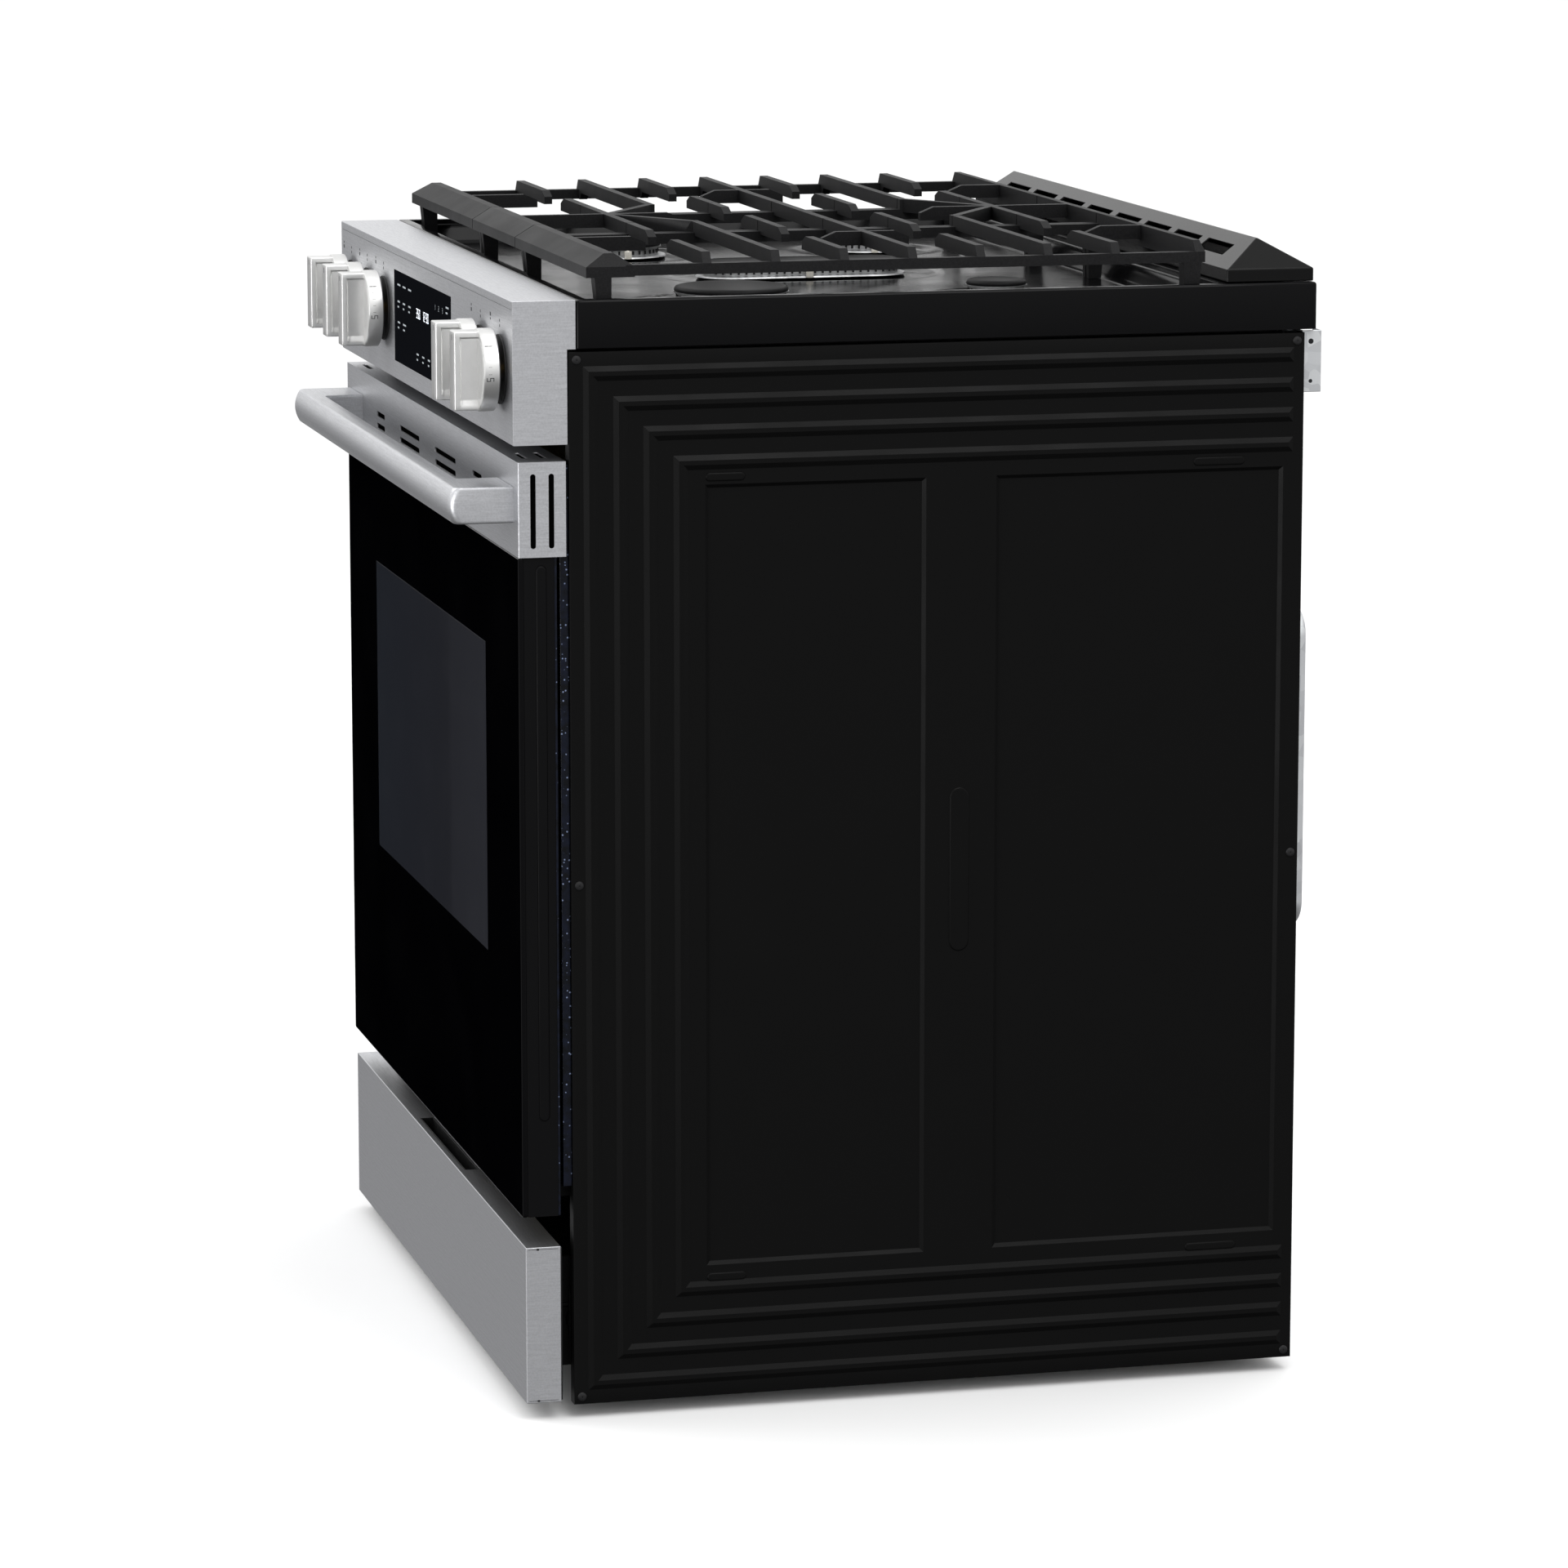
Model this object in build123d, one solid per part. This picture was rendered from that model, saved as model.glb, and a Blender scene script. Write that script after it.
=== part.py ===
from build123d import *
import os

# A 30 inch freestanding gas range, in millimetres.
# While it is built, x = 0 is the middle of the range (+x is its right side, seen from the front),
# y = 0 is the front edge of the side panels (the front faces -y) and z = 0 is the floor.
# place() then moves everything so that the origin is at the middle of the footprint, on the floor.

# Overall body
HALF_WIDTH = 378.0
SIDE_DEPTH = 613.0
FOOT_GAP = 12.0  # side panels above the floor
SIDE_TOP = 872.0
SHEET = 1.2

# Cooktop
COOKTOP_HALF = 379.5
COOKTOP_FRONT = 6.5
COOKTOP_BACK = 622.5
SKIRT_BOTTOM = 874.8
RIM_TOP = 913.1
DECK_TOP = 892.0
RIM_WIDTH = 11.5
DECK_BACK = 541.0
VENT_FRONT = 547.5
VENT_BACK = 621.0

# Control fascia and knobs
FASCIA_FRONT = -45.1
FASCIA_BOTTOM = 798.4
FASCIA_TOP = 913.0
KNOB_X = (-328.0, -251.0, -173.0, 252.0, 329.0)
KNOB_Z = 854.5
KNOB_RADIUS = 33.2
KNOB_BACK = -51.25
KNOB_FACE = -64.7
GRIP_FRONT = -84.0
GRIP_HALF_WIDTH = 9.8
GRIP_HALF_HEIGHT = 31.5
STEM_RADIUS = 4.0
DISPLAY_X = (-123.0, 129.0)
DISPLAY_Z = (813.8, 892.9)

# Oven door
DOOR_FRONT = -41.4
DOOR_BACK = -9.8
DOOR_BOTTOM = 170.2
TRIM_BOTTOM = 708.9
TRIM_TOP = 785.2
TRIM_BACK = -2.6
GLASS_THICK = 4.4
WINDOW_HALF = 243.0
WINDOW_Z = (365.4, 622.0)
HINGE_Y = -16.0
HINGE_Z = 184.0
PIN_RADIUS = 3.0
HANDLE_HALF = 360.4
HANDLE_FRONT = -94.0
HANDLE_Z = (734.9, 764.2)
HANDLE_BAR_BACK = -75.5
BRACKET_WIDTH = 60.0

# Oven
LINER_HALF = 310.0
LINER_Z = (215.0, 705.0)
LINER_BACK = 520.0
MOUTH_Z = (262.0, 700.0)
FRAME_FRONT = -7.0
FRAME_BOTTOM = 194.0
FRAME_TOP = 782.0
OVEN_FLOOR = 262.0
RACK_Z = (380.0, 540.0)

# Storage drawer
DRAWER_FRONT = -39.6
DRAWER_BACK = -10.7
DRAWER_Z = (15.4, 145.7)
DRAWER_BOX_HALF = 335.0
DRAWER_BOX_BACK = 470.0
PULL_HALF = 100.0
PULL_Y = (-34.3, -21.5)

# Grates: cross bars lie on a common pitch, tops level
GRATE_TOP = 947.5
RAIL_Z = (930.0, 938.6)
BAR_BOTTOM = 936.0
BAR_WIDTH = 7.0
RAIL_WIDTH = 8.2
GRATE_HALF = 366.0
SEAM_X = 89.5
SEAM_GAP = 0.8
GRATE_FRONT = 17.4
GRATE_BACK = 531.0
BAR_Y0 = 116.0
BAR_PITCH = 56.6
BURNER_X = 213.0
FRONT_BURNER_Y = 172.6
REAR_BURNER_Y = 399.0
CENTRE_BURNER_Y = BAR_Y0 + 3 * BAR_PITCH

BURNERS = {  # cap radius at each burner's place
    "right_front": (BURNER_X, FRONT_BURNER_Y, 47.0),
    "right_rear": (BURNER_X, REAR_BURNER_Y, 25.0),
    "left_front": (-BURNER_X, FRONT_BURNER_Y, 38.0),
    "left_rear": (-BURNER_X, REAR_BURNER_Y, 31.0),
    "centre": (0.0, CENTRE_BURNER_Y, 27.0),
}
CENTRE_STRETCH = 60.0  # the centre burner is a long oval, from front to back

# Gas supply: the manifold under the fascia and the inlet low on the back
PIPE_Y = -17.0
PIPE_Z = 826.0
PIPE_RADIUS = 9.0
GAS_X = 300.0
GAS_Z = 95.0

# Door hinges: a leaf in the door beside a fixed plate
HINGE_LEAF_X = (334.6, 337.4)
HINGE_PLATE_X = (338.0, 341.0)

# Rear cover and wall brackets
COVER_BACK = 629.3
MIDDLE_Y = (HANDLE_FRONT + COVER_BACK) / 2


def block(x, y, z):
    """A box from its three (low, high) spans."""
    size = [hi - lo for lo, hi in (x, y, z)]
    middle = [(hi + lo) / 2 for lo, hi in (x, y, z)]
    return Pos(*middle) * Box(*size)


def rod_x(x, y, z, radius):
    """A round rod along x, from x[0] to x[1]."""
    return Pos((x[0] + x[1]) / 2, y, z) * Rot(0, 90, 0) * Cylinder(radius, x[1] - x[0])


def rod_y(x, y, z, radius):
    return Pos(x, (y[0] + y[1]) / 2, z) * Rot(90, 0, 0) * Cylinder(radius, y[1] - y[0])


def rod_z(x, y, z, radius):
    return Pos(x, y, (z[0] + z[1]) / 2) * Cylinder(radius, z[1] - z[0])


def outline_x(points, x):
    """A prism along x with an outline of (y, z) points."""
    return extrude(Plane.YZ.offset(x[0]) * Polygon(*points, align=None), x[1] - x[0], dir=(1, 0, 0))


def outline_y(points, y):
    """A prism along y with an outline of (x, z) points."""
    plane = Plane(origin=(0, y[1], 0), x_dir=(1, 0, 0), z_dir=(0, -1, 0))
    return extrude(plane * Polygon(*points, align=None), y[1] - y[0], dir=(0, -1, 0))


def outline_z(points, z):
    """A prism along z with an outline of (x, y) points."""
    return extrude(Plane.XY.offset(z[0]) * Polygon(*points, align=None), z[1] - z[0], dir=(0, 0, 1))


def both_sides(make):
    """The piece on the right and its mirror image on the left."""
    right = make()
    return [right, mirror(right, about=Plane.YZ)]


def join(pieces):
    """One solid from touching pieces."""
    whole = pieces[0]
    for piece in pieces[1:]:
        whole = whole + piece
    return whole


def slot_front(x, y, z):
    """An obround cutter across y, long along x."""
    radius = (z[1] - z[0]) / 2
    middle = (z[0] + z[1]) / 2
    ends = [rod_y(end, y, middle, radius) for end in (x[0] + radius, x[1] - radius)]
    return join([block((x[0] + radius, x[1] - radius), y, z)] + ends)


def slot_side(x, y, z):
    """An obround cutter across x, long along z."""
    radius = (y[1] - y[0]) / 2
    middle = (y[0] + y[1]) / 2
    ends = [rod_x(x, middle, end, radius) for end in (z[0] + radius, z[1] - radius)]
    return join([block(x, y, (z[0] + radius, z[1] - radius))] + ends)


def slot_top(x, y, z):
    """An obround cutter across z, long along x."""
    radius = (y[1] - y[0]) / 2
    middle = (y[0] + y[1]) / 2
    ends = [rod_z(end, middle, z, radius) for end in (x[0] + radius, x[1] - radius)]
    return join([block((x[0] + radius, x[1] - radius), y, z)] + ends)


# ---------------------------------------------------------------- body

def side_panel():
    """The right side panel: a sheet with a flange turned in along its four edges."""
    flange = 13.0
    z = (FOOT_GAP, SIDE_TOP)
    outer = block((HALF_WIDTH - flange, HALF_WIDTH), (0, SIDE_DEPTH), z)
    inner = block((0, HALF_WIDTH - SHEET), (SHEET, SIDE_DEPTH - SHEET), (z[0] + SHEET, z[1] - SHEET))
    return outer - inner


def chassis_frame():
    """Sills, corner posts and top rails folded as channels, and cross members, one welded frame."""
    wall = 1.5
    post_x = (350.0, 364.0)
    front_y, rear_y, cross_y = (8.2, 30.0), (576.0, 600.0), (560.0, 580.0)
    sill_z, rail_z = (16.0, 31.0), (866.0, DECK_TOP - SHEET)

    def channel(x, y, z):
        """A channel that is open towards the side panel."""
        hollow = block((x[0] + wall, x[1] + wall), (y[0] + wall, y[1] - wall), (z[0] + wall, z[1] - wall))
        return block(x, y, z) - hollow

    def tray(x, y, z):
        """A cross member that is open at the top."""
        hollow = block((x[0] + wall, x[1] - wall), (y[0] + wall, y[1] - wall), (z[0] + wall, z[1] + wall))
        return block(x, y, z) - hollow

    def one_side():
        sill = channel((345.0, HALF_WIDTH - SHEET), (front_y[0], rear_y[1]), sill_z)
        rail = channel(post_x, (front_y[0], rear_y[1]), rail_z)
        posts = [channel(post_x, y, (sill_z[1], rail_z[0])) for y in (front_y, rear_y)]
        return join([sill, rail] + posts)

    cross = [tray((-348.0, 348.0), y, sill_z) for y in (cross_y, (60.0, 90.0))]
    cross.append(tray((-post_x[1], post_x[1]), cross_y, (150.0, 170.0)))
    return join(both_sides(one_side) + cross)


def rear_panel():
    sheet = block((-376.0, 376.0), (SIDE_DEPTH - 2 * SHEET, SIDE_DEPTH - SHEET), (14.0, SIDE_TOP - 2))
    sheet -= rod_y(GAS_X, (600, 620), GAS_Z, 15.0)
    return sheet - rod_y(-GAS_X, (600, 620), GAS_Z, 11.0)


def rear_cover():
    """The bulged cover on the back, a pan open towards the rear panel."""
    x, z = (-350.0, 350.0), (370.0, 641.0)
    pan = block(x, (SIDE_DEPTH - SHEET, COVER_BACK), z)
    pan = fillet(pan.edges().filter_by(Axis.Y), 24)
    pan = fillet(pan.faces().sort_by(Axis.Y)[-1].edges(), 8)
    inside = block((x[0] + 1.5, x[1] - 1.5), (600, COVER_BACK - 1.5), (z[0] + 1.5, z[1] - 1.5))
    inside = fillet(inside.edges().filter_by(Axis.Y), 22.5)
    return pan - fillet(inside.faces().sort_by(Axis.Y)[-1].edges(), 6.5)


def wall_brackets():
    """Two folded brackets at the top of the back, which keep the range off the wall."""
    z = (822.5, 873.0)

    def bracket():
        back = block((330.0, 372.0), (SIDE_DEPTH, SIDE_DEPTH + SHEET), z)
        web = block((372.0 - SHEET, 372.0), (SIDE_DEPTH, COVER_BACK), z)
        lip = block((352.0, 372.0), (COVER_BACK - SHEET, COVER_BACK), z)
        return back + web + lip

    return both_sides(bracket)


def levelling_feet():
    feet = []
    for x in (-318.0, 318.0):
        for y in (75.0, 570.0):
            disc = rod_z(x, y, (0, 8.0), 15.0)
            feet.append(fillet(disc.edges().sort_by(Axis.Z)[-1:], 2) + rod_z(x, y, (7.0, 16.0), 5.0))
    return feet


def body_screws():
    """Pan-head screws on the side panels and the rear cover."""
    def side_screws():
        places = [(6.5, 866.0), (6.5, 441.5), (6.5, 18.5), (606.5, 866.0), (606.5, 441.5), (606.5, 18.5)]
        return [rod_x((HALF_WIDTH, HALF_WIDTH + 1.4), y, z, 3.6) for y, z in places]

    heads = side_screws()
    heads += [mirror(head, about=Plane.YZ) for head in heads]
    for x in (-340.0, -120.0, 120.0, 340.0):
        heads += [rod_y(x, (SIDE_DEPTH - SHEET, SIDE_DEPTH + 1.4), z, 3.6) for z in (352.0, 700.0)]
    return heads


# ---------------------------------------------------------------- cooktop

def cooktop():
    """A drawn pan: a skirt, a flat rim and a sunken deck with burner holes."""
    rim_in = COOKTOP_HALF - RIM_WIDTH
    deck_y = (COOKTOP_FRONT + RIM_WIDTH, DECK_BACK)
    skin = 1.6
    pan = block((-COOKTOP_HALF, COOKTOP_HALF), (COOKTOP_FRONT, COOKTOP_BACK), (SKIRT_BOTTOM, RIM_TOP))
    pan = fillet(pan.edges().filter_by(Axis.Z), 5)
    pan = fillet(pan.edges().group_by(Axis.Z)[-1], 2.5)
    pan -= block((-COOKTOP_HALF + skin, COOKTOP_HALF - skin),
                 (COOKTOP_FRONT + skin, COOKTOP_BACK - skin), (860, RIM_TOP - skin))
    tub = block((-rim_in - skin, rim_in + skin), (deck_y[0] - skin, deck_y[1] + skin),
                (DECK_TOP - skin + 0.4, RIM_TOP - 0.4))
    well = block((-rim_in, rim_in), deck_y, (DECK_TOP, RIM_TOP + 5))
    well = fillet(well.edges().filter_by(Axis.Z), 14)
    pan = (pan + tub) - well
    for x, y, radius in BURNERS.values():
        pan -= rod_z(x, y, (880, 900), 18.0)
    return pan - block((-72, 72), (556.0, 590.0), (900, 920))


def cap_outline(x, y, radius, z, stretch):
    """A round or long oval disc."""
    disc = rod_z(x, y, z, radius)
    if stretch:
        ends = [rod_z(x, y + side * stretch, z, radius) for side in (-1, 1)]
        disc = join([block((x - radius, x + radius), (y - stretch, y + stretch), z)] + ends)
    return disc


def burner_heads():
    """Aluminium heads with flame ports round the rim, each with its throat through the deck."""
    heads = []
    for name, (x, y, radius) in BURNERS.items():
        stretch = CENTRE_STRETCH if name == "centre" else 0
        base = cap_outline(x, y, radius - 1.5, (DECK_TOP + 0.1, DECK_TOP + 9.0), stretch)
        base -= cap_outline(x, y, radius - 6, (DECK_TOP + 5.0, DECK_TOP + 12.0), stretch)
        heads.append(base + rod_z(x, y, (DECK_TOP - 18, DECK_TOP + 2), 15.0))
    return heads


def burner_caps():
    caps = []
    for name, (x, y, radius) in BURNERS.items():
        stretch = CENTRE_STRETCH if name == "centre" else 0
        cap = cap_outline(x, y, radius, (DECK_TOP + 9.0, DECK_TOP + 13.6), stretch)
        caps.append(fillet(cap.edges().group_by(Axis.Z)[-1], 2.2))
    return caps


def igniters():
    pins = []
    for name, (x, y, radius) in BURNERS.items():
        side = -1 if x > 0 else 1
        reach = radius + 5.0
        pins.append(rod_z(x + side * reach, y, (DECK_TOP + 0.1, DECK_TOP + 7.0), 3.2)
                    + rod_z(x + side * reach, y, (DECK_TOP + 6.0, DECK_TOP + 11.0), 1.0))
    return pins


def burner_tubes():
    """The tube that feeds each burner from below, with its air shutter cup."""
    tubes = []
    for x, y, radius in BURNERS.values():
        cup = rod_z(x, y, (858.0, DECK_TOP - 18.1), 17.0)
        tubes.append(cup + rod_y(x + 9, (y - 90, y), 864.0, 5.0))
    return tubes


def hip_roof(inset):
    """The vent trim's outer form: low walls and a roof that is hipped at both ends."""
    x = 374.0 - inset
    ridge_x = 354.0 - inset
    low = RIM_TOP + 0.4 - (10 if inset else 0)
    wall, ridge = 924.0 - inset, 948.0 - inset
    front, back = VENT_FRONT + inset, VENT_BACK - inset
    across = outline_x([(front, low), (front, wall), (578.6, ridge), (back, wall), (back, low)], (-x, x))
    along = outline_y([(-x, low), (-x, wall), (-ridge_x, ridge), (ridge_x, ridge), (x, wall), (x, low)],
                      (front, back))
    return across & along


def vent_trim():
    trim = hip_roof(0) - hip_roof(1.8)
    slope_y = (VENT_FRONT + 578.6) / 2
    for number in range(8):
        middle = (number - 3.5) * 84.0
        trim -= Pos(middle, slope_y, 936.0) * Rot(37.7, 0, 0) * Box(66, 12.5, 16)
    return trim


def vent_duct():
    """The flue that carries the oven's exhaust from its back wall up to the vent trim."""
    rise = block((-70, 70), (556.0, 588.0), (670.0, 905.0))
    entry = block((-70, 70), (LINER_BACK + SHEET, 570.0), (670.0, 700.0))
    hollow = block((-69, 69), (557.0, 587.0), (671.0, 910.0))
    hollow += block((-69, 69), (LINER_BACK, 570.0), (671.0, 699.0))
    return (rise + entry) - hollow


# ---------------------------------------------------------------- grates

def hip_bar(x, hip_in, hip_out):
    """The broad front bar of a grate, with chamfered slopes; an outer end is hipped as well."""
    low, edge, top = 929.0, 937.5, GRATE_TOP
    across = outline_x([(GRATE_FRONT, low), (GRATE_FRONT, edge), (33.8, top), (42.0, top),
                        (57.0, edge), (57.0, low)], x)
    along = outline_y([(x[0], low), (x[0], edge), (x[0] + hip_in, top), (x[1] - hip_out, top),
                       (x[1], edge), (x[1], low)], (GRATE_FRONT, 57.0))
    under = block((x[0] + 9, x[1] - 9), (GRATE_FRONT + 4, 53.0), (920, 935.0))
    return (across & along) - under


def bar_along_x(y, inner, outer, post):
    """A cross bar from the outer rail inwards. inner has a post on the seam rail if post is true."""
    top, low, rail = GRATE_TOP, BAR_BOTTOM, RAIL_Z[0]
    points = [(outer, rail), (outer, RAIL_Z[1]), (outer - 6.5, top)]
    points += [(inner, top), (inner, rail), (inner + 7, rail), (inner + 8, low)] if post else [
        (inner + 12, top), (inner, top - 5), (inner, low)]
    points += [(outer - 20, low), (outer - 14, rail)]
    return outline_y(points, (y - BAR_WIDTH / 2, y + BAR_WIDTH / 2))


def seam_finger(y, seam, tip):
    """A short bar from the seam rail towards a burner."""
    top, low, rail = GRATE_TOP, BAR_BOTTOM, RAIL_Z[0]
    way = 1 if tip > seam else -1
    points = [(seam, rail), (seam, top), (tip - 12 * way, top), (tip, top - 5), (tip, low),
              (seam + 8 * way, low), (seam + 7 * way, rail)]
    return outline_y(points, (y - BAR_WIDTH / 2, y + BAR_WIDTH / 2))


def bar_along_y(x, y, tip_low, tip_high):
    """A bar along y whose free ends are chamfered."""
    top, low = GRATE_TOP, BAR_BOTTOM
    points = [(y[0], low), (y[0], top - 5), (y[0] + 12, top)] if tip_low else [(y[0], low), (y[0], top)]
    points += [(y[1] - 12, top), (y[1], top - 5), (y[1], low)] if tip_high else [(y[1], top), (y[1], low)]
    return outline_x(points, (x - BAR_WIDTH / 2, x + BAR_WIDTH / 2))


def rear_bar(x, hip_out):
    """The rear bar: a rail with a low hipped ridge."""
    points = [(x[0], RAIL_Z[0]), (x[0], GRATE_TOP), (x[1] - hip_out, GRATE_TOP),
              (x[1], RAIL_Z[1]), (x[1], RAIL_Z[0])]
    front = GRATE_BACK - RAIL_WIDTH
    ridge = outline_y(points, (front, GRATE_BACK))
    across = outline_x([(front, 900), (front, 960), (GRATE_BACK - 4, GRATE_TOP + 4),
                        (GRATE_BACK, RAIL_Z[1]), (GRATE_BACK, 900)], x)
    return ridge & across


def leg(x, y, slant):
    """A tapered leg down to the deck; its foot is shifted back by slant."""
    top = Pos((x[0] + x[1]) / 2, (y[0] + y[1]) / 2, 931.0) * Rectangle(x[1] - x[0], y[1] - y[0])
    foot = Pos((x[0] + x[1]) / 2, (y[0] + y[1]) / 2 + slant, DECK_TOP + 0.2) * Rectangle(
        x[1] - x[0] - 1.5, y[1] - y[0] - 4)
    return loft([foot, top])


def bar_y(step):
    return BAR_Y0 + BAR_PITCH * step


def grate_right():
    """Frame, three through bars, fingers round two burners, legs."""
    seam = SEAM_X + SEAM_GAP
    inner = (seam, seam + RAIL_WIDTH)
    outer = (GRATE_HALF - RAIL_WIDTH, GRATE_HALF)
    y = (50.0, GRATE_BACK - 4)
    pieces = [hip_bar((seam, GRATE_HALF), 0, 10), rear_bar((seam, GRATE_HALF), 8)]
    pieces += [block(x, y, RAIL_Z) for x in (inner, outer)]
    pieces += [bar_along_x(bar_y(step), seam, GRATE_HALF, True) for step in (1, 3, 5)]
    pieces += [bar_along_x(bar_y(step), BURNER_X + 26, GRATE_HALF, False) for step in (0, 2, 4, 6)]
    pieces += [seam_finger(bar_y(step), seam, BURNER_X - 42) for step in (0, 2, 4, 6)]
    middle = bar_y(3)
    pieces.append(bar_along_y(BURNER_X, (middle - 37, middle + 37), True, True))
    pieces.append(bar_along_y(BURNER_X, (40.0, 100.0), False, True))
    pieces.append(bar_along_y(BURNER_X, (476.0, GRATE_BACK - 5), True, False))
    for x in (inner, (outer[0] - 6, outer[1])):
        pieces.append(leg(x, (24.0, 38.0), 2))
        pieces.append(leg(x, (513.0, 528.0), -1))
    return join(pieces)


def grate_centre():
    """Frame, through bars, slanted bars and fingers round the long centre burner, legs."""
    edge = SEAM_X - SEAM_GAP
    y = (50.0, GRATE_BACK - 4)
    pieces = [hip_bar((-edge, edge), 0, 0), rear_bar((-edge, edge), 0)]
    for side in (-1, 1):
        rail = sorted((side * edge, side * (edge - RAIL_WIDTH)))
        pieces.append(block(rail, y, RAIL_Z))
        pieces += [seam_finger(bar_y(step), side * edge, side * 31) for step in (2, 4)]
        for step, apex in ((1, bar_y(0)), (5, bar_y(6))):
            pieces.append(slanted_bar(side * (edge - 3), bar_y(step), apex))
            pieces.append(block(rail, (bar_y(step) - 3.5, bar_y(step) + 3.5), (RAIL_Z[0], GRATE_TOP)))
        pieces.append(leg(rail, (24.0, 38.0), 2))
        pieces.append(leg(rail, (513.0, 528.0), -1))
        for step in (0, 3, 6):
            pieces.append(seam_finger(bar_y(step), side * edge, -side * 12))
    spans = [((40.0, bar_y(0)), False, False), ((bar_y(0), bar_y(1) + 8), False, True),
             ((bar_y(5) - 8, bar_y(6)), True, False), ((bar_y(6), GRATE_BACK - 5), False, False)]
    for span, low, high in spans:
        pieces.append(bar_along_y(0, span, low, high))
    return join(pieces)


def slanted_bar(x, y, apex_y):
    """A level bar from the seam at (x, y) to the middle at (0, apex_y)."""
    start, end = Vector(x, y), Vector(0, apex_y)
    along = (end - start).normalized()
    side = Vector(-along.Y, along.X) * (BAR_WIDTH / 2)
    corners = [start + side, end + side, end - side, start - side]
    return outline_z([(p.X, p.Y) for p in corners], (BAR_BOTTOM, GRATE_TOP))


# ---------------------------------------------------------------- control fascia

def control_panel():
    """The folded steel fascia: front, top, bottom and ends; the back is open."""
    step_z, upper_back, lower_back = 874.0, 6.0, -1.0

    outline = [(FASCIA_FRONT, FASCIA_BOTTOM), (FASCIA_FRONT, FASCIA_TOP), (upper_back, FASCIA_TOP),
               (upper_back, step_z), (lower_back, step_z), (lower_back, FASCIA_BOTTOM)]
    shell = outline_x(outline, (-HALF_WIDTH, HALF_WIDTH))
    shell = fillet(shell.edges().filter_by(Axis.X).group_by(Axis.Y)[0], 0.8)
    shell -= block((-HALF_WIDTH + SHEET, HALF_WIDTH - SHEET), (FASCIA_FRONT + SHEET, 30),
                   (FASCIA_BOTTOM + SHEET, FASCIA_TOP - SHEET))
    shell -= block((-HALF_WIDTH - 1, HALF_WIDTH + 1), (FASCIA_FRONT - 1, FASCIA_FRONT + 0.35), (906.2, 906.6))
    for x in KNOB_X:
        shell -= rod_y(x, (FASCIA_FRONT - 5, FASCIA_FRONT + 5), KNOB_Z, 8.0)
    return shell - block(DISPLAY_X, (FASCIA_FRONT - 5, FASCIA_FRONT + 5), DISPLAY_Z)


def display_glass():
    gap = 0.15
    x = (DISPLAY_X[0] + gap, DISPLAY_X[1] - gap)
    z = (DISPLAY_Z[0] + gap, DISPLAY_Z[1] - gap)
    return block(x, (FASCIA_FRONT - 0.2, FASCIA_FRONT + 2.6), z)


def control_board():
    board = block((DISPLAY_X[0] - 8, DISPLAY_X[1] + 8), (-39.0, -37.4), (DISPLAY_Z[0] - 6, DISPLAY_Z[1] + 6))
    posts = [rod_y(x, (FASCIA_FRONT + 2.6, -38.0), z, 3.0) for x in (-110, 0, 110) for z in (825.0, 880.0)]
    return join([board] + posts)


def knob_bezels():
    rings = []
    for x in KNOB_X:
        ring = rod_y(x, (FASCIA_FRONT - 1.6, FASCIA_FRONT), KNOB_Z, 28.0)
        rings.append(ring - rod_y(x, (-60, -30), KNOB_Z, 8.0))
    return rings


def knob(x):
    """A round skirt with a deep rectangular grip; the grip's sides are hollowed for the fingers."""
    skirt = rod_y(x, (KNOB_FACE, KNOB_BACK), KNOB_Z, KNOB_RADIUS)
    skirt = fillet(skirt.edges().group_by(Axis.Y)[0], 1.5)
    grip = block((x - GRIP_HALF_WIDTH, x + GRIP_HALF_WIDTH), (GRIP_FRONT, KNOB_FACE + 1),
                 (KNOB_Z - GRIP_HALF_HEIGHT, KNOB_Z + GRIP_HALF_HEIGHT))
    grip = fillet(grip.edges().filter_by(Axis.Y), 3)
    grip = fillet(grip.faces().sort_by(Axis.Y)[0].edges(), 1.8)
    for side in (-1, 1):
        span = sorted((x + side * (GRIP_HALF_WIDTH - 3), x + side * (GRIP_HALF_WIDTH + 3)))
        grip -= block(span, (GRIP_FRONT + 4.5, KNOB_FACE - 0.2), (KNOB_Z - 25.0, KNOB_Z + 25.0))
    return (skirt + grip) - rod_y(x, (-60.0, -40.0), KNOB_Z, STEM_RADIUS + 0.05)


def valve_stem(x):
    return rod_y(x, (-59.5, -22.0), KNOB_Z, STEM_RADIUS)


def gas_valves():
    valves = []
    for x in KNOB_X:
        body = block((x - 11, x + 11), (-30.0, -4.0), (KNOB_Z - 12, KNOB_Z + 12))
        body += rod_z(x, PIPE_Y, (PIPE_Z + PIPE_RADIUS, KNOB_Z - 11), 6.0)
        valves.append(body - rod_y(x, (-31.0, -18.0), KNOB_Z, STEM_RADIUS + 0.05))
    return valves


# ---------------------------------------------------------------- gas supply


def manifold_pipe():
    """The front manifold and the supply pipe that climbs the back to it."""
    front = rod_x((-350.0, 350.0), PIPE_Y, PIPE_Z, PIPE_RADIUS)
    rear_y = 592.0
    back_run = rod_y(GAS_X + 25, (PIPE_Y, rear_y), PIPE_Z, 7.0)
    rise = rod_z(GAS_X + 25, rear_y, (GAS_Z, PIPE_Z + 7.0), 7.0)
    return front + back_run + rise


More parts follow.
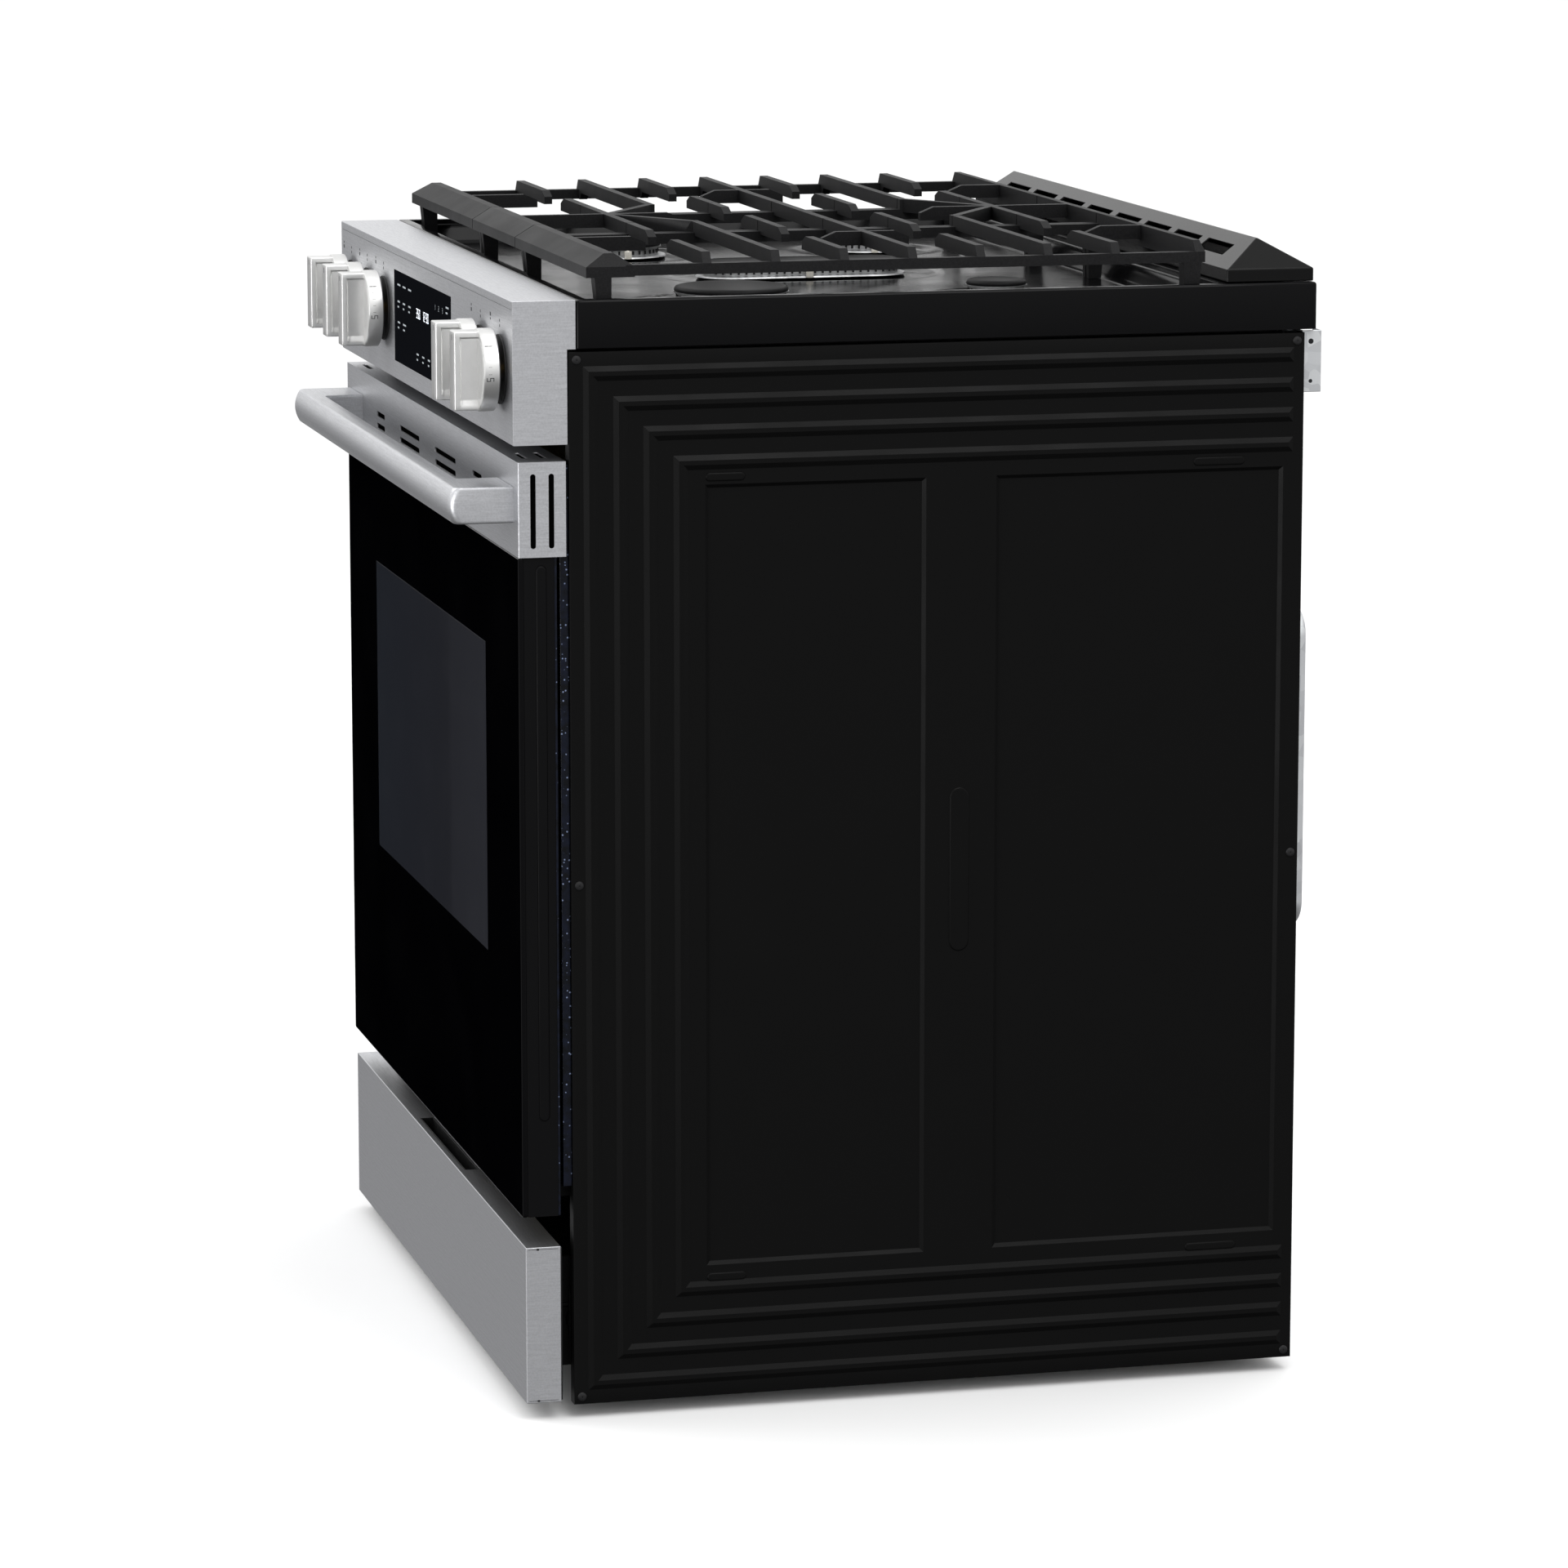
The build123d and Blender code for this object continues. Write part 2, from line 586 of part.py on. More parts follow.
def gas_regulator():
    """A round regulator with a female threaded inlet that faces backwards."""
    body = rod_z(GAS_X, 592.0, (GAS_Z - 24, GAS_Z + 24), 16.0)
    neck = rod_y(GAS_X, (592.0, 618.0), GAS_Z, 13.0)
    outlet = rod_x((GAS_X, GAS_X + 17.9), 592.0, GAS_Z, 8.0)
    return body + neck + outlet - rod_y(GAS_X, (600.0, 620.0), GAS_Z, 9.5)


def power_inlet():
    """The terminal box behind the rear panel and the bush where the mains cord enters."""
    box = block((-GAS_X - 40, -GAS_X + 40), (570.0, SIDE_DEPTH - 2 * SHEET), (GAS_Z - 25, GAS_Z + 35))
    box -= block((-GAS_X - 38, -GAS_X + 38), (572.0, SIDE_DEPTH - 2 * SHEET - 2), (GAS_Z - 23, GAS_Z + 33))
    bush = rod_y(-GAS_X, (600.0, SIDE_DEPTH + 2), GAS_Z, 10.8)
    return box + bush - rod_y(-GAS_X, (590.0, 630.0), GAS_Z, 6.5)


# ---------------------------------------------------------------- oven

def oven_liner():
    x = (-LINER_HALF, LINER_HALF)
    outer = block(x, (0, LINER_BACK), LINER_Z)
    outer = fillet(outer.edges().filter_by(Axis.Y), 16)
    inner = block((x[0] + SHEET, x[1] - SHEET), (-5, LINER_BACK - SHEET),
                  (LINER_Z[0] + SHEET, LINER_Z[1] - SHEET))
    liner = outer - fillet(inner.edges().filter_by(Axis.Y), 15)
    for side in (-1, 1):
        for z in RACK_Z:
            ledge_x = sorted((side * (LINER_HALF - SHEET / 2), side * (LINER_HALF - 14)))
            liner += block(ledge_x, (20, 500), (z - 9, z - 4))
    liner -= block((-60, 60), (LINER_BACK - 5, LINER_BACK + 5), (675.0, 690.0))
    return liner - rod_y(-200, (LINER_BACK - 5, LINER_BACK + 5), 640.0, 24.0)


def oven_front_frame():
    """The enamelled frame round the oven mouth."""
    frame = block((-374.0, 374.0), (FRAME_FRONT, 0), (FRAME_BOTTOM, FRAME_TOP))
    pan = block((-372.0, 372.0), (FRAME_FRONT + SHEET, 1), (FRAME_BOTTOM + SHEET, FRAME_TOP - SHEET))
    mouth_x = LINER_HALF - SHEET
    rim = block((-mouth_x - 6, mouth_x + 6), (FRAME_FRONT + 0.5, 0), (MOUTH_Z[0] - 6, MOUTH_Z[1] + 6))
    mouth = block((-mouth_x + 4, mouth_x - 4), (-20, 20), MOUTH_Z)
    mouth = fillet(mouth.edges().filter_by(Axis.Y), 14)
    return (frame - pan) + rim - mouth


def oven_insulation():
    outer = block((-345.0, 345.0), (2.0, 552.0), (188.0, 738.0))
    outer -= block((-LINER_HALF - 0.5, LINER_HALF + 0.5), (-5, LINER_BACK + 0.5),
                   (LINER_Z[0] - 0.5, LINER_Z[1] + 0.5))
    outer -= block((-71, 71), (500, 600), (669.0, 701.0))
    return outer - rod_y(-200, (500, 600), 640.0, 26.0)


def oven_bottom():
    """The lift-out floor plate with slots along its sides."""
    plate = block((-304.0, 304.0), (8.0, 514.0), (OVEN_FLOOR, OVEN_FLOOR + SHEET))
    for side in (-1, 1):
        for number in range(12):
            y = 50.0 + number * 36.0
            plate -= block(sorted((side * 255, side * 290)), (y, y + 6), (250, 280))
    return plate


def tube_loop(x, y, z, radius):
    """A burner tube bent into a long U, its open ends at the back."""
    legs = [rod_y(side * x, y, z, radius) for side in (-1, 1)]
    return join(legs + [rod_x((-x - radius, x + radius), y[0], z, radius)])


def bake_burner():
    return tube_loop(150.0, (80.0, LINER_BACK - SHEET), 238.0, 10.0)


def broil_burner():
    return tube_loop(110.0, (70.0, LINER_BACK - SHEET), 676.0, 9.0)


def oven_rack(z):
    """A wire rack: rods from front to back on a heavier frame, with a raised stop at the back."""
    half, front, back = 292.0, 20.0, 500.0
    frame = [rod_y(side * half, (front - 3, back + 3), z, 3.0) for side in (-1, 1)]
    frame += [rod_x((-half, half), y, z, 3.0) for y in (front, (front + back) / 2, back)]
    count = 23
    step = 2 * half / (count + 1)
    frame += [rod_y(-half + step * (number + 1), (front, back), z + 2.2, 1.8) for number in range(count)]
    return join(frame)


def oven_lamp():
    lens = rod_y(-200, (LINER_BACK - 14, LINER_BACK + 4), 640.0, 23.5)
    lens = fillet(lens.edges().group_by(Axis.Y)[0], 6)
    return lens + rod_y(-200, (LINER_BACK + 3, LINER_BACK + 40), 640.0, 14.0)


def door_gasket():
    """A closed loop on the front frame, pressed flat by the shut door."""
    z = (MOUTH_Z[0] - 20, MOUTH_Z[1] + 20)
    outer = block((-336, 336), (DOOR_BACK + 0.4, FRAME_FRONT), z)
    inner = block((-326, 326), (-20, 5), (z[0] + 10, z[1] - 10))
    return fillet(outer.edges().filter_by(Axis.Y), 24) - fillet(inner.edges().filter_by(Axis.Y), 15)


# ---------------------------------------------------------------- oven door


def hinge_notch():
    """The room that the fixed hinge plates need while the door turns round them."""
    x = (HINGE_LEAF_X[0] - 0.6, HINGE_PLATE_X[1] + 1.5)
    return both_sides(lambda: block(x, (HINGE_Y - 9, 0), (DOOR_BOTTOM - 5, HINGE_Z + 9)))


def door_glass():
    glass = block((-376.5, 376.5), (DOOR_FRONT, DOOR_FRONT + GLASS_THICK), (DOOR_BOTTOM, TRIM_BOTTOM - 0.3))
    return fillet(glass.edges().filter_by(Axis.Y).group_by(Axis.Z)[0], 2)


def door_shell():
    """The black pan behind the glass: side, bottom and top walls and a front flange."""
    y = (DOOR_FRONT + GLASS_THICK, DOOR_BACK - 2.2)
    z = (DOOR_BOTTOM + 0.3, TRIM_BOTTOM - 0.3)
    shell = block((-376.0, 376.0), y, z)
    shell -= block((-376.0 + SHEET, 376.0 - SHEET), (y[0] - 1, y[1] + 1), (z[0] + SHEET, z[1] - SHEET))
    flange = block((-376.0, 376.0), (y[0], y[0] + SHEET), z)
    flange -= block((-WINDOW_HALF - 20, WINDOW_HALF + 20), (y[0] - 1, y[1]),
                    (WINDOW_Z[0] - 20, WINDOW_Z[1] + 20))
    shell += flange
    for side in (-1, 1):
        span = sorted((side * 375.6, side * 380.0))
        shell -= slot_side(span, (-27.2, -18.4), (249.4, 702.4))
    return shell - hinge_notch()


def door_inner_panel():
    """The enamelled inner face of the door with its window opening."""
    panel = block((-376.0, 376.0), (DOOR_BACK - 2.2, DOOR_BACK), (DOOR_BOTTOM + 0.3, 782.0))
    opening = block((-WINDOW_HALF, WINDOW_HALF), (-30, 0), WINDOW_Z)
    panel -= fillet(opening.edges().filter_by(Axis.Y), 12)
    return panel - hinge_notch()


def door_inner_glass():
    return block((-WINDOW_HALF - 12, WINDOW_HALF + 12), (-16.0, DOOR_BACK - 2.2),
                 (WINDOW_Z[0] - 12, WINDOW_Z[1] + 12))


def door_trim():
    """The vented steel box along the top of the door."""
    x = (-HALF_WIDTH, HALF_WIDTH)
    shell = block(x, (DOOR_FRONT, TRIM_BACK), (TRIM_BOTTOM, TRIM_TOP))
    shell = fillet(shell.edges().filter_by(Axis.Z).group_by(Axis.Y)[0], 1.0)
    shell -= block((x[0] + SHEET, x[1] - SHEET), (DOOR_FRONT + SHEET, 5),
                   (TRIM_BOTTOM + SHEET, TRIM_TOP - SHEET))
    shell -= block((-376.4, 376.4), (DOOR_BACK - 2.5, 5), (TRIM_BOTTOM - 1, TRIM_BOTTOM + 2))
    front = (DOOR_FRONT - 1, DOOR_FRONT + 3)
    for low in (742.4, 752.7):
        for middle, half in ((79.5, 44.5), (214.0, 19.0)):
            for side in (-1, 1):
                centre = side * middle
                shell -= slot_front((centre - half, centre + half), front, (low, low + 4.8))
    for side in (-1, 1):
        span = sorted((side * (HALF_WIDTH - 3), side * (HALF_WIDTH + 3)))
        for y in (-31.5, -16.6):
            shell -= slot_side(span, (y, y + 4.4), (715.9, 775.7))
        for y in (-32.5, -17.2):
            shell -= slot_top(sorted((side * 316, side * 353)), (y, y + 4.4), (TRIM_TOP - 3, TRIM_TOP + 3))
    return shell


def handle_bar():
    """A flat bar with a bulged front face."""
    low, high = HANDLE_Z
    edge_y = HANDLE_FRONT + 5.0
    middle = (low + high) / 2
    face = ThreePointArc((edge_y, low), (HANDLE_FRONT, middle), (edge_y, high))
    rest = Polyline((edge_y, high), (HANDLE_BAR_BACK, high), (HANDLE_BAR_BACK, low), (edge_y, low))
    section = Plane.YZ.offset(-HANDLE_HALF) * make_face([face, rest])
    return extrude(section, 2 * HANDLE_HALF)


def handle_brackets():
    def bracket():
        x = (HANDLE_HALF - BRACKET_WIDTH, HANDLE_HALF)
        arm = block(x, (HANDLE_BAR_BACK, DOOR_FRONT), HANDLE_Z)
        return fillet(arm.edges().filter_by(Axis.Z).group_by(Axis.X)[0][:1], 3)

    return both_sides(bracket)


def door_hinges():
    """A steel leaf inside each lower corner of the door, bored for the hinge pin."""
    def leaf():
        plate = block(HINGE_LEAF_X, (-34.0, DOOR_BACK - 2.2), (DOOR_BOTTOM + 3, 300.0))
        return plate - rod_x((330, 345), HINGE_Y, HINGE_Z, PIN_RADIUS + 0.05)

    return both_sides(leaf)


def hinge_brackets():
    """Fixed plates with the hinge pins; they reach back under the front frame to the posts."""
    def bracket():
        plate = block(HINGE_PLATE_X, (HINGE_Y, 60.0), (HINGE_Z - 6, HINGE_Z + 3))
        nose = rod_x(HINGE_PLATE_X, HINGE_Y, HINGE_Z, 6.0)
        nose = nose - block((330, 350), (-30, 0), (HINGE_Z + 3, HINGE_Z + 10))
        foot = block((HINGE_PLATE_X[0], 350.0), (10.0, 28.0), (HINGE_Z - 6, HINGE_Z - 3))
        pin = rod_x((HINGE_LEAF_X[0] - 1, HINGE_PLATE_X[0] + 1), HINGE_Y, HINGE_Z, PIN_RADIUS)
        return plate + nose + foot + pin

    return both_sides(bracket)


# ---------------------------------------------------------------- storage drawer

def drawer_front():
    """The folded steel front with an opening for the pull cup in its top face."""
    shell = block((-HALF_WIDTH, HALF_WIDTH), (DRAWER_FRONT, DRAWER_BACK), DRAWER_Z)
    shell = fillet(shell.edges().filter_by(Axis.Z).group_by(Axis.Y)[0], 1.0)
    shell -= block((-HALF_WIDTH + SHEET, HALF_WIDTH - SHEET), (DRAWER_FRONT + SHEET, 0),
                   (DRAWER_Z[0] + SHEET, DRAWER_Z[1] - SHEET))
    return shell - block((-PULL_HALF, PULL_HALF), PULL_Y, (DRAWER_Z[1] - 5, DRAWER_Z[1] + 5))


def drawer_pull():
    """The plastic finger cup set into the top of the drawer front."""
    gap = 0.1
    x = (-PULL_HALF + gap, PULL_HALF - gap)
    y = (PULL_Y[0] + gap, PULL_Y[1] - gap)
    cup = block(x, y, (112.0, DRAWER_Z[1]))
    return cup - block((x[0] + 1.2, x[1] - 1.2), (y[0] + 1.2, y[1] - 1.2), (113.5, DRAWER_Z[1] + 5))


def drawer_box():
    """The sheet tub and the plate that carries the drawer front."""
    x = (-DRAWER_BOX_HALF, DRAWER_BOX_HALF)
    z = (34.0, 126.0)
    tub = block(x, (DRAWER_BACK, DRAWER_BOX_BACK), z)
    tub -= block((x[0] + SHEET, x[1] - SHEET), (DRAWER_BACK + SHEET, DRAWER_BOX_BACK - SHEET),
                 (z[0] + SHEET, 200))
    plate_half = HALF_WIDTH - SHEET
    return tub + block((-plate_half, plate_half), (DRAWER_BACK, DRAWER_BACK + SHEET),
                       (DRAWER_Z[0] + SHEET, DRAWER_Z[1] - SHEET))


def drawer_runners():
    """Channel runners on the tub's sides that ride on the fixed glides."""
    def runner():
        web = block((DRAWER_BOX_HALF, DRAWER_BOX_HALF + 1.5), (-9.0, DRAWER_BOX_BACK), (78.0, 106.0))
        shelf = block((DRAWER_BOX_HALF, 343.0), (-9.0, DRAWER_BOX_BACK), (86.0, 88.0))
        return web + shelf

    return both_sides(runner)


def drawer_rails():
    """Fixed rails on the posts, each with a round nylon glide at the front under the runner."""
    def rail():
        web = block((348.0, 350.0), (2.0, 560.0), (62.0, 100.0))
        top = block((338.5, 348.5), (40.0, 560.0), (98.0, 100.0))
        glide = rod_x((338.5, 349.0), 14.0, 73.4, 12.4)
        rear_glide = rod_x((338.5, 349.0), 60.0, 73.4, 12.4)
        foot = block((348.0, 350.0), (8.0, 30.0), (40.0, 63.0))
        return web + top + glide + rear_glide + foot

    return both_sides(rail)


# ---------------------------------------------------------------- all pieces

def as_list(shape):
    return list(shape) if isinstance(shape, (list, tuple)) else [shape]


def place(shape):
    """Move a piece, or several, so that the origin is at the middle of the footprint."""
    solids = [solid for piece in as_list(shape) for solid in piece.solids()]
    moved = [Pos(0, -MIDDLE_Y, 0) * solid for solid in solids]
    return moved[0] if len(moved) == 1 else Compound(children=moved)


def all_pieces():
    right = side_panel()
    right_grate = grate_right()
    pieces = {
        "side_panel_right": right,
        "side_panel_left": mirror(right, about=Plane.YZ),
        "grate_right": right_grate,
        "grate_left": mirror(right_grate, about=Plane.YZ),
        "oven_rack_lower": oven_rack(RACK_Z[0]),
        "oven_rack_upper": oven_rack(RACK_Z[1]),
    }
    single = [chassis_frame, rear_panel, rear_cover, wall_brackets, levelling_feet, body_screws,
              cooktop, burner_heads, burner_caps, igniters, burner_tubes, vent_trim, vent_duct, grate_centre,
              control_panel, display_glass, control_board, knob_bezels, gas_valves,
              manifold_pipe, gas_regulator, power_inlet,
              oven_liner, oven_front_frame, oven_insulation, oven_bottom, bake_burner, broil_burner,
              oven_lamp, door_gasket, hinge_brackets,
              door_glass, door_shell, door_inner_panel, door_inner_glass, door_trim, handle_bar,
              handle_brackets, door_hinges,
              drawer_front, drawer_pull, drawer_box, drawer_runners, drawer_rails]
    for make in single:
        pieces[make.__name__] = make()
    for number, x in enumerate(KNOB_X, start=1):
        pieces[f"knob_{number}"] = knob(x)
        pieces[f"valve_stem_{number}"] = valve_stem(x)
    return pieces


def main():
    os.makedirs("parts", exist_ok=True)
    for name, shape in all_pieces().items():
        export_step(place(shape), f"parts/{name}.step")


main()
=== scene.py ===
import math

import bmesh
import bpy
import numpy as np
from bpy.props import FloatProperty, FloatVectorProperty, IntProperty, PointerProperty
from mathutils import Euler, Matrix, Vector


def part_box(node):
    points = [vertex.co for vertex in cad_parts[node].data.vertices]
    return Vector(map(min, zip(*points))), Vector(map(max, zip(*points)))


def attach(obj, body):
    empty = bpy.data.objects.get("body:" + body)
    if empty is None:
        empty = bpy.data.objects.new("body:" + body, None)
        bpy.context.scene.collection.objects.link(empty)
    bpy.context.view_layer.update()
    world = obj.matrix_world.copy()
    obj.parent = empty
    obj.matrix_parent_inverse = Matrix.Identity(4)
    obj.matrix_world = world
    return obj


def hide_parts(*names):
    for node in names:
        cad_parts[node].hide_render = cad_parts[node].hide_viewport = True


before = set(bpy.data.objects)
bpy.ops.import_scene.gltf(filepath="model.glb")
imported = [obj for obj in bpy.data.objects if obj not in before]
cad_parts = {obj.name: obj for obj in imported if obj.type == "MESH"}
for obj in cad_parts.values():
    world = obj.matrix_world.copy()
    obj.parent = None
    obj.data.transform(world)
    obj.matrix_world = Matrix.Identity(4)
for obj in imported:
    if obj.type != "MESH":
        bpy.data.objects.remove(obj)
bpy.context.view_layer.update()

bl_info = {
    "name": "Gas Range Finisher",
    "version": (1, 0, 0),
    "blender": (4, 5, 0),
    "location": "View3D > Sidebar > Gas Range",
    "description": "Dresses a freestanding gas range in its enamel, steel, glass and cast iron",
    "category": "Object",
}

MM = 0.001
RANGE, DOOR, DRAWER = "range_body", "oven_door", "storage_drawer"
KNOBS = range(1, 6)


# ---------------------------------------------------------------- colours and nodes

def linear(hex_colour):
    """An sRGB hex colour as linear red, green, blue."""
    parts = [int(hex_colour[i:i + 2], 16) / 255 for i in (1, 3, 5)]
    return [p / 12.92 if p <= 0.04045 else ((p + 0.055) / 1.055) ** 2.4 for p in parts]


def rgba(colour):
    return (*(linear(colour) if isinstance(colour, str) else tuple(colour)[:3]), 1.0)


def add(tree, kind, inputs=None, stops=None, **settings):
    """Add a node with its settings, its colour stops, and each input as a value or the socket that feeds it."""
    made = tree.nodes.new(kind)
    for name, value in settings.items():
        setattr(made, name, value)
    if stops:
        ramp = made.color_ramp
        while len(ramp.elements) < len(stops):
            ramp.elements.new(0.5)
        for element, (place, colour) in zip(ramp.elements, stops):
            element.position = place
            element.color = rgba(colour)
    for key, value in (inputs or {}).items():
        if isinstance(value, bpy.types.NodeSocket):
            tree.links.new(value, made.inputs[key])
        else:
            made.inputs[key].default_value = value
    return made


def per(millimetres):
    """The texture scale at which one pattern cell is this many millimetres."""
    return 1000.0 / millimetres


class Finish:
    """A material under construction: its tree, its Principled shader and its object coordinates."""

    def __init__(self, name, colour, roughness, metallic=0.0, **sockets):
        self.material = bpy.data.materials.new(name)
        self.material.use_nodes = True
        self.tree = self.material.node_tree
        self.shader = self.tree.nodes["Principled BSDF"]
        self.shader.inputs["Base Color"].default_value = rgba(colour)
        self.shader.inputs["Roughness"].default_value = roughness
        self.shader.inputs["Metallic"].default_value = metallic
        for socket, value in sockets.items():
            self.shader.inputs[socket.replace("_", " ")].default_value = value
        self.coords = add(self.tree, "ShaderNodeTexCoord")
        self.bump = None

    def grain(self, size, detail=2.0):
        """An uneven pattern whose cells are size millimetres across, or (x, y, z) millimetres."""
        where, scale = self.coords.outputs["Object"], 1.0
        if isinstance(size, tuple):
            where = add(self.tree, "ShaderNodeMapping",
                        {"Vector": where, "Scale": [per(side) for side in size]}).outputs[0]
        else:
            scale = per(size)
        return add(self.tree, "ShaderNodeTexNoise",
                   {"Vector": where, "Scale": scale, "Detail": detail}).outputs["Fac"]

    def tone(self, factor, stops):
        """Base colour that runs through these stops along a factor."""
        self.feed("Base Color", add(self.tree, "ShaderNodeValToRGB", {"Fac": factor}, stops).outputs["Color"])

    def gloss(self, factor, low, high, source=(0.3, 0.7)):
        """Roughness from low to high as a factor runs over source."""
        self.feed("Roughness", add(self.tree, "ShaderNodeMapRange", {
            "Value": factor, "From Min": source[0], "From Max": source[1],
            "To Min": low, "To Max": high}).outputs[0])

    def feed(self, socket, value):
        self.tree.links.new(value, self.shader.inputs[socket])

    def relief(self, height, depth, strength=1.0):
        """Bump with a depth in millimetres; later calls add to earlier ones."""
        inputs = {"Height": height, "Distance": depth * MM, "Strength": strength}
        if self.bump:
            inputs["Normal"] = self.bump.outputs[0]
        self.bump = add(self.tree, "ShaderNodeBump", inputs)
        self.feed("Normal", self.bump.outputs[0])


# ---------------------------------------------------------------- finishes

def brushed_stainless(tint, grain=1.1):
    """Stainless sheet, belt-brushed sideways: soft streaks and a satin sheen. The real grain is finer than a
    tenth of a millimetre, so it is drawn about one millimetre wide to show at all."""
    f = Finish("brushed_stainless", tint, 0.4, 1.0)
    across = f.grain((28, grain, grain), 3.0)
    on_ends = f.grain((grain, 14, grain), 3.0)
    facing = add(f.tree, "ShaderNodeSeparateXYZ", {0: f.coords.outputs["Normal"]}).outputs[0]
    is_end = add(f.tree, "ShaderNodeMath", {0: facing}, operation="ABSOLUTE").outputs[0]
    is_end = add(f.tree, "ShaderNodeMath", {0: is_end, 1: 0.7}, operation="GREATER_THAN").outputs[0]
    streak = add(f.tree, "ShaderNodeMix", {0: is_end, 2: across, 3: on_ends}).outputs[0]
    speck = f.grain(1.6, 4.0)
    both = add(f.tree, "ShaderNodeMath", {0: streak, 1: speck}, operation="ADD").outputs[0]
    both = add(f.tree, "ShaderNodeMapRange", {"Value": both, "From Min": 0.7, "From Max": 1.3}).outputs[0]
    base = Vector(tint)
    f.tone(both, [(0.0, base * 0.86), (1.0, base * 1.1)])
    f.gloss(both, 0.44, 0.36, (0.0, 1.0))
    f.relief(both, 0.012, 0.5)
    return f.material


def satin_knob_alloy():
    """Die-cast zinc, bead-blasted and satin plated: pale silver, softly blurred, with a very fine tooth."""
    f = Finish("satin_plated_zinc", "#d9d9d8", 0.36, 1.0)
    grain = f.grain(0.7, 3.0)
    f.tone(f.grain(9, 2.0), [(0.3, "#d5d5d4"), (0.7, "#dadad9")])
    f.gloss(grain, 0.35, 0.4)
    f.relief(grain, 0.008, 0.25)
    return f.material


def powder_coat(name, colour, roughness, level, peel=1.6):
    """Black powder coat baked on sheet steel: a low sheen broken by a fine orange peel."""
    f = Finish(name, colour, roughness, Specular_IOR_Level=level)
    skin = f.grain(peel, 2.0)
    f.gloss(f.grain(60, 3.0), roughness - 0.05, roughness + 0.06)
    f.relief(skin, 0.02, 0.5)
    return f.material


def gloss_enamel():
    """Black porcelain enamel fired on a drawn pan: deep gloss that pools a little in the wells."""
    f = Finish("black_porcelain_enamel", "#040405", 0.18, Specular_IOR_Level=0.09)
    f.gloss(f.grain(35, 3.0), 0.14, 0.22)
    f.relief(f.grain(4.0, 2.0), 0.03, 0.5)
    return f.material


def speckled_enamel():
    """Dark blue oven enamel with pale fired specks about half a millimetre to two millimetres wide."""
    f = Finish("blue_speckled_enamel", "#10141f", 0.24, Specular_IOR_Level=0.15)
    cells = add(f.tree, "ShaderNodeTexVoronoi", {"Vector": f.coords.outputs["Object"], "Scale": per(3.4)})
    dot = add(f.tree, "ShaderNodeMapRange", {
        "Value": cells.outputs["Distance"], "From Min": 0.12, "From Max": 0.26,
        "To Min": 1.0, "To Max": 0.0}).outputs[0]
    chance = add(f.tree, "ShaderNodeSeparateColor", {0: cells.outputs["Color"]}).outputs[0]
    lit = add(f.tree, "ShaderNodeMath", {0: chance, 1: 0.72}, operation="GREATER_THAN").outputs[0]
    speck = add(f.tree, "ShaderNodeMath", {0: dot, 1: lit}, operation="MULTIPLY").outputs[0]
    ground = add(f.tree, "ShaderNodeValToRGB", {"Fac": f.grain(7, 4.0)},
                 [(0.35, "#05070c"), (0.7, "#0e1322")]).outputs["Color"]
    f.feed("Base Color", add(f.tree, "ShaderNodeMix", {0: speck, 6: ground, 7: rgba("#76829f")},
                             data_type="RGBA").outputs[2])
    f.relief(f.grain(5.0, 2.0), 0.03, 0.5)
    return f.material


def cast_iron():
    """Cast iron under matte black enamel: a dark, slightly sandy skin left by the mould."""
    f = Finish("matte_enamelled_cast_iron", "#121213", 0.5, Specular_IOR_Level=0.13)
    sand = f.grain(1.3, 5.0)
    f.tone(sand, [(0.3, "#0e0e0f"), (0.7, "#19191a")])
    f.gloss(f.grain(45, 3.0), 0.5, 0.57)
    f.relief(sand, 0.12, 0.6)
    return f.material


def matte_cap_enamel():
    """The burner caps' flat black enamel: nearly no gloss and a faint sandy skin."""
    f = Finish("matte_cap_enamel", "#0f0f10", 0.5, Specular_IOR_Level=0.12)
    f.tone(f.grain(3.0, 4.0), [(0.3, "#0c0c0d"), (0.7, "#131314")])
    f.relief(f.grain(1.2, 3.0), 0.04, 0.5)
    return f.material


def cast_aluminium(name="die_cast_aluminium", colour="#b6b7b8", roughness=0.42):
    """Die-cast aluminium, tumbled: grey-white metal with cloudy patches."""
    f = Finish(name, colour, roughness, 1.0)
    base = Vector(linear(colour))
    f.tone(f.grain(6, 4.0), [(0.3, base * 0.8), (0.7, base * 1.1)])
    f.gloss(f.grain(2.5, 3.0), roughness - 0.08, roughness + 0.1)
    f.relief(f.grain(0.9, 3.0), 0.03, 0.5)
    return f.material


def galvanised():
    """Hot-dip galvanised sheet: zinc crystals some ten millimetres across, each with its own grey."""
    f = Finish("galvanised_sheet", "#d0d2d4", 0.46, 1.0)
    cells = add(f.tree, "ShaderNodeTexVoronoi", {"Vector": f.coords.outputs["Object"], "Scale": per(11)})
    shade = add(f.tree, "ShaderNodeSeparateColor", {0: cells.outputs["Color"]}).outputs[0]
    f.tone(shade, [(0.0, "#c2c4c6"), (0.5, "#d0d2d4"), (1.0, "#dcdedf")])
    f.gloss(shade, 0.42, 0.52, (0.0, 1.0))
    f.relief(f.grain(2.0, 3.0), 0.02, 0.4)
    return f.material


def bright_chrome():
    """Nickel-chrome plated wire: mirror bright, a little hazed by oven heat."""
    f = Finish("chrome_plated_wire", "#d4d5d7", 0.16, 1.0)
    f.gloss(f.grain(18, 3.0), 0.12, 0.26)
    f.tone(f.grain(40, 2.0), [(0.3, "#cfcfcf"), (0.7, "#dadbdd")])
    return f.material


